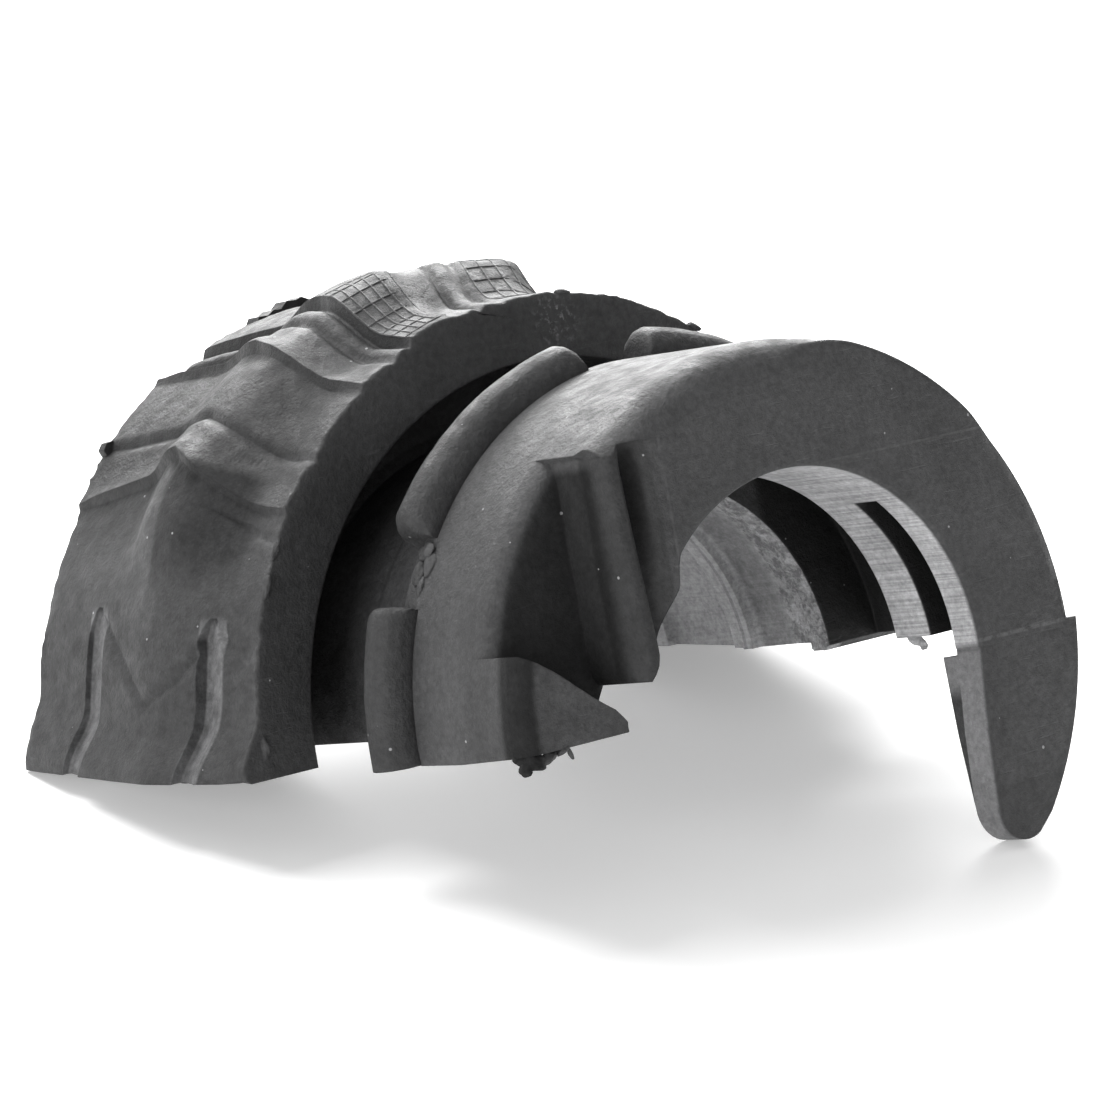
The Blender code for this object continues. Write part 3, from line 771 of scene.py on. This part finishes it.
def build_rim_flaps():
    """Two torn tongues of rubber on the rear rim: one just past the top, one on the near side."""
    top = (
        (92.6, 26.3), (92.9, 27.0), (94.1, 27.3), (95.2, 27.2), (96.6, 27.3), (97.8, 26.95),
        (99.1, 27.05), (100.2, 26.85), (101.6, 27.0), (102.5, 26.6), (103.7, 26.4),
    )
    near = (
        (130.3, 26.2), (130.6, 27.0), (131.4, 27.25), (132.5, 27.15), (132.9, 26.6), (134.0, 26.75),
        (135.1, 26.5), (136.4, 26.7), (137.6, 26.4), (139.2, 26.5), (140.6, 26.0),
    )
    made = []
    for number, (edge, thick) in enumerate(((top, 1.3), (near, 0.7)), 1):
        outline = [on_ring(0.0, r, angle)[1:] for angle, r in edge]
        outline += [on_ring(0.0, 25.2, angle)[1:] for angle in (edge[-1][0] + 0.3, edge[0][0] - 0.1)]
        made.append(across_the_bore(f"rim_flap_{number}", outline, RIM_X + 0.02, RIM_X + thick))
    return made


def build_slots():
    """The narrow slot in the far wall of the bore, and the two upright slots on the near side."""
    narrow = turned(
        "bore_slot", [(LAND_END, 10.0), (SLOT_END, 10.0), (SLOT_END, SLOT_R), (LAND_END, SLOT_R)],
        -4.0, SLOT_TOP_ANGLE, 1.0,
    )
    made = [narrow]
    for number, (x_top, top, lean) in enumerate(REAR_SLOTS, 1):
        sections = []
        for step in range(29):
            down = (step / 28) ** 1.4
            angle = mix(top, REAR_SLOT_BOTTOM, down)
            half = math.sqrt(share_between(-0.004, 0.12, down)) * (1.0 - 0.12 * down)
            middle = x_top - lean * smooth_step(0.35, 1.0, down)
            middle += 0.1 * roughness((0, down, number), 0.2)
            outside = rear_collar_radius(middle, angle)
            depth = REAR_SLOT_DEPTH * share_between(-0.05, 0.16, down) ** 0.7
            row = [
                (middle - half, outside - depth),
                (middle - 0.75 * half, outside - depth - 0.12),
                (middle + 0.6 * half, outside - 0.75 * depth),
                (middle + half, outside - 0.3 * depth),
                (middle + 1.25 * half, outside + 3.0),
                (middle - 1.15 * half, outside + 3.0),
            ]
            sections.append([on_ring(x, r, angle) for x, r in row])
        made.append(lofted(f"rear_slot_{number}", sections))
    return made


def round_the_bore(x, r, angle, size):
    """A torn bit's centre, half sizes and turns, from its place round the bore."""
    return on_ring(x, r, angle), size, (angle - 90.0, 0.0, 0.0)


def build_torn_bits():
    """Crumbs, nibs and thin flash left along the torn edges."""
    places = [
        round_the_bore(-43.3, 26.0, 138.4, (0.3, 0.9, 0.4)),
        round_the_bore(-22.2, 24.8, 82.4, (0.3, 0.6, 0.25)),
        round_the_bore(-22.1, 24.7, 58.2, (0.3, 0.5, 0.2)),
        round_the_bore(-13.3, 20.25, 145.6, (0.75, 0.55, 0.22)),
        round_the_bore(-12.7, 20.1, 147.6, (0.5, 0.8, 0.2)),
        round_the_bore(-13.5, 20.15, 149.4, (0.45, 0.75, 0.24)),
        round_the_bore(-13.1, 20.1, 151.6, (0.3, 0.6, 0.2)),
        ((-3.4, -19.3, -0.75), (0.95, 0.75, 0.5), (10.0, 20.0, 30.0)),
        ((-3.2, -19.9, -1.15), (0.45, 0.35, 0.4), (0.0, 0.0, 0.0)),
        ((-3.0, -18.4, -0.75), (0.5, 0.75, 0.3), (20.0, 0.0, 0.0)),
        ((-2.7, -17.4, -0.45), (0.3, 0.55, 0.2), (30.0, 0.0, 0.0)),
        ((-2.7, -17.0, -0.75), (0.14, 0.14, 0.4), (15.0, 0.0, 0.0)),
        ((-6.5, 13.1, 0.2), (0.7, 0.35, 0.3), (0.0, 20.0, 0.0)),
        ((-5.8, 13.0, -0.1), (0.35, 0.22, 0.3), (0.0, 0.0, 0.0)),
        ((-38.0, 19.5, 0.75), (0.8, 0.5, 0.35), (0.0, 0.0, 30.0)),
        ((-43.0, -24.2, 1.35), (0.5, 0.8, 0.25), (0.0, 10.0, 0.0)),
        ((-29.6, -25.0, 0.2), (1.3, 0.9, 0.18), (0.0, 8.0, 0.0)),
        ((-14.9, -20.4, -0.42), (1.5, 1.0, 0.12), (0.0, 0.0, 0.0)),
        round_the_bore(-22.05, 24.5, 176.0, (0.3, 0.7, 0.3)),
        round_the_bore(-22.0, 24.75, 154.0, (0.25, 0.8, 0.22)),
        round_the_bore(-22.0, 24.8, 149.0, (0.22, 0.6, 0.2)),
    ]
    return [torn_bit(f"bit_{n}", *place) for n, place in enumerate(places, 1)]


def build_bushing():
    body = build_blank()
    body = cut_or_join(body, "UNION", build_lobes() + build_rim_flaps())
    cuts = build_splits() + [build_scoop(), build_tongue_face(), build_slab_face()]
    body = cut_or_join(body, "DIFFERENCE", cuts)
    body = cut_or_join(body, "UNION", [build_claw()])
    body = cut_or_join(body, "DIFFERENCE", build_slots() + build_seams())
    body = cut_or_join(body, "UNION", build_torn_bits())
    body.name = body.data.name = "bushing"
    return body


def new_tree(name):
    tree = bpy.data.node_groups.new(name, "GeometryNodeTree")
    tree.interface.new_socket("Geometry", in_out="INPUT", socket_type="NodeSocketGeometry")
    tree.interface.new_socket("Geometry", in_out="OUTPUT", socket_type="NodeSocketGeometry")
    return tree


def wires_over(name, mesh, radius, material):
    """A round wire along every edge of a mesh, made by Geometry Nodes and taken as a mesh."""
    tree = new_tree(name)
    socket = tree.interface.new_socket("Wire Radius", in_out="INPUT", socket_type="NodeSocketFloat")
    socket.default_value = radius * MM
    coat_socket = tree.interface.new_socket("Material", in_out="INPUT", socket_type="NodeSocketMaterial")
    nodes, links = tree.nodes, tree.links
    start = nodes.new("NodeGroupInput")
    end = nodes.new("NodeGroupOutput")
    to_curve = nodes.new("GeometryNodeMeshToCurve")
    circle = nodes.new("GeometryNodeCurvePrimitiveCircle")
    circle.inputs["Resolution"].default_value = WIRE_SIDES
    to_mesh = nodes.new("GeometryNodeCurveToMesh")
    to_mesh.inputs["Fill Caps"].default_value = True
    realize = nodes.new("GeometryNodeRealizeInstances")
    coat = nodes.new("GeometryNodeSetMaterial")
    links.new(start.outputs["Geometry"], to_curve.inputs["Mesh"])
    links.new(start.outputs["Wire Radius"], circle.inputs["Radius"])
    links.new(start.outputs["Material"], coat.inputs["Material"])
    links.new(to_curve.outputs["Curve"], to_mesh.inputs["Curve"])
    links.new(circle.outputs["Curve"], to_mesh.inputs["Profile Curve"])
    links.new(to_mesh.outputs["Mesh"], realize.inputs["Geometry"])
    links.new(realize.outputs["Geometry"], coat.inputs["Geometry"])
    links.new(coat.outputs["Geometry"], end.inputs["Geometry"])
    obj = add_object(name, mesh)
    modifier = obj.modifiers.new(name, "NODES")
    modifier.node_group = tree
    modifier[coat_socket.identifier] = material
    return add_object(name, taken_as_mesh(obj, WIRE_WELD))


def grid_on_pad(angles, start, end):
    """A mesh of edges only that follows the rear collar's surface over one of its pads."""
    places = [mix(start, end, step / GRID_STEPS) for step in range(GRID_STEPS + 1)]
    built = bmesh.new()
    rows = []
    for angle in angles:
        row = []
        for x in places:
            r = rear_collar_radius(x, angle) - GRID_SINK
            row.append(built.verts.new([c * MM for c in on_ring(x, r, angle + lean_at(x, angle))]))
        rows.append(row)
    for row in rows:
        for a, b in zip(row, row[1:]):
            built.edges.new((a, b))
    for row, after in zip(rows, rows[1:]):
        for k, (a, b) in enumerate(zip(row, after)):
            if k % GRID_STEPS_PER_CROSS_LINE == 0:
                built.edges.new((a, b))
    mesh = bpy.data.meshes.new("pad_grid")
    built.to_mesh(mesh)
    built.free()
    return mesh


def put_in_place(obj, material):
    """Moves a finished piece into the row frame, kept inside the solid's box, and coats it."""
    obj.data.transform(to_row_frame())
    low, high = cad_box
    for vertex in obj.data.vertices:
        for axis in range(3):
            vertex.co[axis] = min(high[axis], max(low[axis], vertex.co[axis]))
    obj.data.materials.clear()
    obj.data.materials.append(material)
    obj.data.shade_smooth()
    obj.data.set_sharp_from_angle(angle=math.radians(SHARP_ANGLE))
    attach(obj, "root")


class RubberNodes:
    """Shorthand for the nodes of one rubber material, with the places its masks are cut from."""

    def __init__(self, material):
        self.nodes = material.node_tree.nodes
        self.links = material.node_tree.links
        coords = self.nodes.new("ShaderNodeTexCoord")
        bore = self.nodes.new("ShaderNodeMapping")
        bore.vector_type = "TEXTURE"
        bore.inputs["Location"].default_value = BORE_ORIGIN * MM
        bore.inputs["Rotation"].default_value = to_row_frame().to_euler()
        bore.inputs["Scale"].default_value = (MM, MM, MM)
        self.links.new(coords.outputs["Object"], bore.inputs["Vector"])
        self.place = bore.outputs["Vector"]
        apart = self.nodes.new("ShaderNodeSeparateXYZ")
        self.links.new(self.place, apart.inputs[0])
        self.x, self.y, self.z = apart.outputs
        squares = self.value("ADD", self.times(self.y, self.y), self.times(self.z, self.z))
        self.radius = self.value("SQRT", squares)
        self.angle = self.times(self.value("ARCTAN2", self.z, self.y), 180.0 / math.pi)
        large = self.ramp(self.noise(0.22), 0.3, 0.7, 0.88, 1.14)
        fine = self.ramp(self.noise(2.4, 6.0, 0.72), 0.3, 0.7, 0.76, 1.26)
        self.tone = self.times(large, fine)

    def value(self, kind, first, second=None):
        """One maths node, fed by sockets or numbers."""
        made = self.nodes.new("ShaderNodeMath")
        made.operation = kind
        for socket, given in zip(made.inputs, (first, second)):
            if isinstance(given, (int, float)):
                socket.default_value = given
            elif given is not None:
                self.links.new(given, socket)
        return made.outputs[0]

    def joined(self, kind, parts):
        made = parts[0]
        for part in parts[1:]:
            made = self.value(kind, made, part)
        return made

    def times(self, *factors):
        return self.joined("MULTIPLY", factors)

    def plus(self, *parts):
        return self.joined("ADD", parts)

    def any_of(self, *masks):
        return self.joined("MAXIMUM", masks)

    def outside_of(self, mask):
        return self.value("SUBTRACT", 1.0, mask)

    def ramp(self, given, low, high, to_low=0.0, to_high=1.0):
        """A smooth change from one value to another between two places, low to high."""
        made = self.nodes.new("ShaderNodeMapRange")
        made.interpolation_type = "SMOOTHSTEP"
        made.inputs["From Min"].default_value = low
        made.inputs["From Max"].default_value = high
        made.inputs["To Min"].default_value = to_low
        made.inputs["To Max"].default_value = to_high
        self.links.new(given, made.inputs["Value"])
        return made.outputs["Result"]

    def within(self, **bounds):
        """A mask from bounds on x, y, z, radius or angle. Each is given as where the mask begins
        and where it is full, and may go on with where it begins to fade and where it is gone."""
        ramps = []
        for name, (begins, full, *fades) in bounds.items():
            ramps.append(self.ramp(getattr(self, name), begins, full))
            if fades:
                ramps.append(self.ramp(getattr(self, name), fades[1], fades[0]))
        return self.times(*ramps)

    def noise(self, scale, detail=3.0, rough=0.55, vector=None):
        """Noise that has scale bumps to the millimetre."""
        made = self.nodes.new("ShaderNodeTexNoise")
        made.inputs["Scale"].default_value = scale
        made.inputs["Detail"].default_value = detail
        made.inputs["Roughness"].default_value = rough
        self.links.new(vector or self.place, made.inputs["Vector"])
        return made.outputs["Fac"]

    def shade(self, where, change):
        """Lightens or darkens the tone by a share of itself where the mask is 1."""
        self.tone = self.times(self.tone, self.plus(1.0, self.times(where, change)))


def shade_front_collar(rubber):
    """Painted shade: the collar's outside darkens towards its top, and so do the lobes and the low near
    corner.
    """
    near_scoop = rubber.within(angle=(118.0, 124.0), x=(-7.2, -6.2))
    outside = rubber.times(
        rubber.within(radius=(19.7, 20.05), x=(-13.0, -12.6)),
        rubber.outside_of(near_scoop),
    )
    # Painted shade over the collar's outside, stronger towards its top
    rubber.shade(rubber.times(outside, rubber.ramp(rubber.z, 4.0, 17.0, 0.3, 1.2)), -0.22)
    lobes = rubber.within(x=(-16.5, -16.3, SEAM_X - 0.05, SEAM_X + 0.05), radius=(19.9, 20.1))
    # Painted shade on the lobes behind the collar
    rubber.shade(lobes, -0.35)
    low_front = rubber.within(
        x=(-9.5, -6.5), radius=(17.6, 18.4), z=(11.0, 7.0), y=(-8.0, -11.0),
    )
    # Painted shade in the low near corner by the scoop
    rubber.shade(low_front, -0.2)


def shade_bore(rubber):
    """The lands of the bore are made pale by painted light and its grooves dark by painted shade;
    painted light also lightens the claw's inner side. Returns the pale part and the torn ring in it."""
    groove = rubber.within(x=(GROOVE_END - 0.1, GROOVE_END, GROOVE_START, GROOVE_START + 0.1))
    slot = rubber.within(x=(SLOT_END - 0.05, SLOT_END, LAND_END, LAND_END + 0.05))
    hollows = rubber.any_of(groove, slot)
    lands = rubber.times(
        rubber.within(radius=(13.7, 13.4), x=(-0.2, -0.6), y=(-6.0, 0.0), z=(-0.6, 0.0)),
        rubber.outside_of(rubber.times(hollows, rubber.within(radius=(12.52, 12.64)))),
    )
    # Painted light over the lands of the bore
    rubber.shade(lands, 6.8)
    # Less painted light over a band of the lands from -21.3 to -18 mm
    rubber.shade(rubber.times(lands, rubber.within(x=(-21.3, -20.7, -18.8, -18.0))), -0.35)
    torn_ring = rubber.times(lands, rubber.within(x=(-18.6, -17.8, -14.1, -13.9)))
    torn_tone = rubber.ramp(rubber.noise(1.4, 5.0, 0.75), 0.4, 0.6, -0.35, 0.45)
    rubber.shade(torn_ring, torn_tone)
    # Less painted light on the lands behind -23 mm
    rubber.shade(rubber.times(lands, rubber.within(x=(-23.0, -24.0))), -0.2)
    deep = rubber.times(hollows, rubber.within(y=(8.5, 9.5), radius=(12.55, 12.75, 16.8, 17.0)))
    # Painted shade in the deep groove and the slot of the bore
    rubber.shade(deep, -0.8)
    claw_inside = rubber.within(y=(9.0, 10.0, 12.9, 13.3), x=(-0.15, -0.5), z=(-0.3, -0.8))
    # Painted light on the claw's inner side
    rubber.shade(claw_inside, 2.4)
    return lands, torn_ring


def shade_scoop(rubber):
    """Painted shade darkens the slab, the scoop, the tongue's edge and the dip. Returns where they are
    dull.
    """
    slab = rubber.within(
        y=(-12.7, -12.5, -9.2, -8.9), x=(-3.4, -3.0, -0.35, -0.1), z=(16.1, 15.8),
    )
    # Painted shade on the slab
    rubber.shade(slab, -0.5)
    wall = rubber.within(x=(-1.5, -2.9), y=(-12.85, -12.55))
    scoop = rubber.times(
        rubber.any_of(wall, rubber.within(x=(-3.6, -4.4))),
        rubber.within(x=(-6.1, -5.5), y=(-11.7, -12.2), radius=(19.6, 19.0)),
    )
    # Painted shade in the scoop
    rubber.shade(scoop, -0.7)
    tongue_edge = rubber.within(
        radius=(18.8, 19.3), x=(-4.9, -4.1), z=(6.4, 5.4), y=(-16.0, -17.0),
    )
    # Painted shade along the tongue's edge
    rubber.shade(tongue_edge, -0.72)
    dip = rubber.within(
        y=(-11.5, -11.0, -10.4, -9.4), z=(6.5, 12.0, 15.2, 16.4), x=(-2.6, -2.2, -0.9, -0.5),
    )
    # Painted shade in the dip
    rubber.shade(dip, -0.55)
    return rubber.any_of(scoop, tongue_edge, dip)


def shade_rear_collar(rubber):
    """The rear collar and the neck, with painted shade and painted light. Returns the dull side of the
    lowest ridge.
    """
    annulus = rubber.within(
        x=(FACE_X - 0.2, FACE_X - 0.1, FACE_X + 0.1, FACE_X + 0.2), z=(20.0, 14.0),
    )
    # Painted shade on the rear collar's front face
    rubber.shade(annulus, -0.3)
    outside = rubber.within(radius=(24.7, 25.0), x=(-21.95, -22.3))
    # Painted shade over the rear collar's outside, more over its top
    rubber.shade(outside, -0.38)
    rubber.shade(rubber.times(outside, rubber.within(angle=(142.0, 134.0))), -0.2)
    # Painted shade in the neck behind the front collar
    rubber.shade(rubber.within(x=(-13.6, -14.4), radius=(14.0, 15.0, 24.2, 24.7)), -0.2)
    patches = rubber.ramp(rubber.noise(0.9, 5.0, 0.7), 0.42, 0.62)
    low = rubber.within(x=(-21.9, -22.2), angle=(150.0, 162.0))
    rubber.shade(rubber.times(low, patches), -0.3)
    ridge_side = rubber.within(
        x=(CREST_X - 0.4, CREST_X + 0.4, -26.0, -23.5), angle=(137.0, 139.0, 149.0, 157.0),
    )
    # Painted shade on the side of the lowest ridge
    rubber.shade(rubber.times(ridge_side, rubber.within(radius=(24.0, 24.5))), -0.22)
    ridge_highlight = rubber.within(
        x=(-36.5, -33.5, CREST_X - 0.3, CREST_X + 0.2), angle=(136.5, 139.0, 150.0, 160.0),
    )
    # Painted highlight along the top of the lowest ridge
    rubber.shade(ridge_highlight, 0.5)
    behind_crest = rubber.within(x=(-31.0, -35.0), angle=(150.0, 138.0), radius=(24.0, 24.5))
    # Painted shade on the flank behind the crest
    rubber.shade(behind_crest, -0.35)
    dark_patches_over_crest = rubber.within(
        angle=(133.0, 137.0, 139.5, 143.5), x=(-36.0, -33.0, -29.5, -27.5), radius=(25.5, 26.0),
    )
    # Darker in patches over the crest about the second nose
    rubber.shade(rubber.times(dark_patches_over_crest, patches), -0.5)
    for x_top, top, lean in REAR_SLOTS:
        lean_start = mix(top, REAR_SLOT_BOTTOM, 0.35)
        leaned = rubber.ramp(rubber.angle, lean_start, REAR_SLOT_BOTTOM, 0.0, lean)
        across = rubber.value("ABSOLUTE", rubber.plus(rubber.x, leaned, -x_top))
        floor = rubber.within(angle=(top - 0.5, top + 1.5), radius=(23.0, 23.5))
        # Painted light on the floors of the upright slots
        rubber.shade(rubber.times(rubber.ramp(across, 1.05, 0.85), floor), 2.4)
    return ridge_side


def dust_specks(rubber):
    """Small pale specks, thinly spread."""
    cells = rubber.nodes.new("ShaderNodeTexVoronoi")
    cells.inputs["Scale"].default_value = 0.75
    rubber.links.new(rubber.place, cells.inputs["Vector"])
    chosen = rubber.nodes.new("ShaderNodeSeparateColor")
    rubber.links.new(cells.outputs["Color"], chosen.inputs[0])
    size = rubber.ramp(chosen.outputs[0], 0.0, 1.0, 0.01, 0.075)
    speck = rubber.value("LESS_THAN", cells.outputs["Distance"], size)
    return rubber.times(speck, rubber.value("GREATER_THAN", chosen.outputs[1], 0.55))


def chalky_smudge(rubber):
    """A smudge high on the rear collar's front face."""
    away = rubber.nodes.new("ShaderNodeVectorMath")
    away.operation = "DISTANCE"
    rubber.links.new(rubber.place, away.inputs[0])
    away.inputs[1].default_value = Vector(on_ring(FACE_X, 23.2, 84.5))
    broken = rubber.ramp(rubber.noise(2.6, 4.0, 0.7), 0.5, 0.68)
    return rubber.times(rubber.ramp(away.outputs["Value"], 2.4, 0.4), broken)


def fine_scratches(rubber):
    """Scratches drawn out along a slanting line."""
    slant = rubber.nodes.new("ShaderNodeMapping")
    slant.inputs["Rotation"].default_value = [math.radians(turn) for turn in (38, 12, 20)]
    slant.inputs["Scale"].default_value = (5.0, 0.35, 5.0)
    rubber.links.new(rubber.place, slant.inputs["Vector"])
    return rubber.ramp(rubber.noise(1.0, 2.0, vector=slant.outputs["Vector"]), 0.64, 0.72)


def tool_lines_along_bore(rubber):
    lines_at = rubber.nodes.new("ShaderNodeCombineXYZ")
    rubber.links.new(rubber.times(rubber.angle, 1.5), lines_at.inputs[0])
    rubber.links.new(rubber.times(rubber.x, 0.12), lines_at.inputs[1])
    return rubber.noise(1.0, 2.0, vector=lines_at.outputs[0])


def pale_line_over_claw(rubber):
    """The thin broken line where the claw meets the front face."""
    line = rubber.ramp(rubber.value("ABSOLUTE", rubber.z), 0.17, 0.06)
    broken = rubber.ramp(rubber.noise(1.2), 0.3, 0.6)
    return rubber.times(line, rubber.within(y=(12.0, 12.6), x=(-0.9, -0.6)), broken)


def crease_on_face(rubber):
    """The front face stands a little higher above a crease across its far side."""
    return rubber.within(z=(12.32, 12.48), x=(-0.6, -0.3), y=(0.4, 1.4))


def worn_rubber_with_painted_light(name, lightness):
    """Worn black rubber, with painted light and shade. Lightness scales how pale its clean surface is,
    against 1 for the body; above 1 it is painted light.
    """
    material = bpy.data.materials.new(name)
    material.use_nodes = True
    shader = material.node_tree.nodes["Principled BSDF"]
    rubber = RubberNodes(material)
    shade_front_collar(rubber)
    lands, torn_ring = shade_bore(rubber)
    dull = rubber.any_of(shade_scoop(rubber), shade_rear_collar(rubber))
    specks = dust_specks(rubber)
    scratches = fine_scratches(rubber)
    tool_lines = tool_lines_along_bore(rubber)
    lined = rubber.times(lands, rubber.ramp(rubber.x, -14.6, -13.6, 0.3, 1.0))

    rubber.shade(scratches, SCRATCH_TONE)
    rubber.shade(lined, rubber.ramp(tool_lines, 0.35, 0.65, -TOOL_LINE_TONE, TOOL_LINE_TONE))
    base = rubber.plus(
        rubber.times(rubber.tone, RUBBER_TONE * lightness),
        rubber.times(specks, SPECK_TONE),
        rubber.times(chalky_smudge(rubber), SMUDGE_TONE),
        rubber.times(pale_line_over_claw(rubber), CLAW_LINE_TONE),
    )
    colour = rubber.nodes.new("ShaderNodeCombineColor")
    for channel, tint in zip(colour.inputs, RUBBER_TINT):
        rubber.links.new(rubber.times(base, tint), channel)
    rubber.links.new(colour.outputs[0], shader.inputs["Base Color"])
    uneven = rubber.ramp(rubber.noise(0.8), 0.3, 0.7, *RUBBER_ROUGHNESS)
    rough = rubber.value("MINIMUM", rubber.plus(uneven, rubber.times(dull, DULL_ROUGHNESS)), 1.0)
    rubber.links.new(rough, shader.inputs["Roughness"])
    shader.inputs["Specular IOR Level"].default_value = RUBBER_SPECULAR

    height = rubber.plus(
        rubber.times(crease_on_face(rubber), CREASE_HEIGHT),
        rubber.times(rubber.noise(5.5, 4.0, 0.7), GRAIN_HEIGHT),
        rubber.times(rubber.noise(1.3, 3.0), WAVE_HEIGHT),
        rubber.times(scratches, -SCRATCH_DEPTH),
        rubber.times(lined, tool_lines, TOOL_LINE_HEIGHT),
        rubber.times(torn_ring, rubber.noise(2.2, 5.0, 0.75), TORN_HEIGHT),
        rubber.times(specks, SPECK_HEIGHT),
    )
    rounded = rubber.nodes.new("ShaderNodeBevel")
    rounded.samples = 4
    rounded.inputs["Radius"].default_value = SOFT_EDGE * MM
    bump = rubber.nodes.new("ShaderNodeBump")
    bump.inputs["Strength"].default_value = BUMP_STRENGTH
    bump.inputs["Distance"].default_value = MM
    rubber.links.new(height, bump.inputs["Height"])
    rubber.links.new(rounded.outputs["Normal"], bump.inputs["Normal"])
    rubber.links.new(bump.outputs["Normal"], shader.inputs["Normal"])
    return material


def add_camera():
    data = bpy.data.cameras.new("camera")
    data.sensor_width = SENSOR
    data.lens = LENS
    data.clip_start = 0.01
    data.clip_end = 10.0
    camera = add_object("camera", data)
    centre = VIEW_RIGHT * VIEW_OFFSET[0] + VIEW_UP * VIEW_OFFSET[1] + VIEW_BACK * VIEW_DISTANCE
    axes = Matrix((VIEW_RIGHT.normalized(), VIEW_UP.normalized(), VIEW_BACK.normalized())).transposed()
    camera.matrix_world = to_row_frame() @ Matrix.Translation(centre * MM) @ axes.to_4x4()
    bpy.context.scene.camera = camera


def add_floor():
    bpy.ops.mesh.primitive_plane_add(size=FLOOR_SIZE)
    floor = bpy.context.object
    floor.name = "floor"
    material = bpy.data.materials.new("floor_white")
    material.use_nodes = True
    shader = material.node_tree.nodes["Principled BSDF"]
    shader.inputs["Base Color"].default_value = (FLOOR_TONE, FLOOR_TONE, FLOOR_TONE, 1.0)
    shader.inputs["Roughness"].default_value = 0.9
    shader.inputs["Emission Color"].default_value = (1.0, 1.0, 1.0, 1.0)
    shader.inputs["Emission Strength"].default_value = FLOOR_GLOW
    floor.data.materials.append(material)


def add_area(name, place, target, size, power):
    light = bpy.data.lights.new(name, "AREA")
    light.shape = "RECTANGLE"
    light.size, light.size_y = size
    light.energy = power
    lamp = add_object(name, light)
    lamp.location = place
    lamp.rotation_euler = (place - target).to_track_quat("Z", "Y").to_euler()


def light_scene():
    """White room: the camera sees it pure white, and it lights the object more softly."""
    world = bpy.data.worlds.new("studio")
    world.use_nodes = True
    nodes, links = world.node_tree.nodes, world.node_tree.links
    room = nodes["Background"]
    room.inputs["Color"].default_value = (1, 1, 1, 1)
    room.inputs["Strength"].default_value = ROOM_LIGHT
    seen = nodes.new("ShaderNodeBackground")
    rays = nodes.new("ShaderNodeLightPath")
    chosen = nodes.new("ShaderNodeMixShader")
    links.new(rays.outputs["Is Camera Ray"], chosen.inputs[0])
    links.new(room.outputs[0], chosen.inputs[1])
    links.new(seen.outputs[0], chosen.inputs[2])
    seen.inputs["Color"].default_value = (1, 1, 1, 1)
    links.new(chosen.outputs[0], nodes["World Output"].inputs["Surface"])
    bpy.context.scene.world = world
    middle = Vector((0.0, 0.0, LIT_HEIGHT))
    for name, direction, size, power in LIGHTS:
        place = middle + LIGHT_DISTANCE * Vector(direction).normalized()
        add_area(name, place, middle, size, power)


body_rubber = worn_rubber_with_painted_light("moulded_rubber", 1.0)
# A lighter copy of the rubber for the grid lines, as painted light on their lit tops
grid_rubber = worn_rubber_with_painted_light("rubber_grid_lines", GRID_LIT_TOPS_LIGHTNESS)
bushing = build_bushing()
grids = []
for number, (angles, start, end) in enumerate(PAD_GRIDS, 1):
    lines = grid_on_pad(angles, start, end)
    grids.append(wires_over(f"pad_grid_{number}", lines, GRID_WIRE_RADIUS, grid_rubber))
put_in_place(bushing, body_rubber)
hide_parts("sway_bar_bushing")
for grid in grids:
    put_in_place(grid, grid_rubber)
add_camera()
add_floor()
light_scene()
bpy.context.scene.view_settings.view_transform = "Standard"
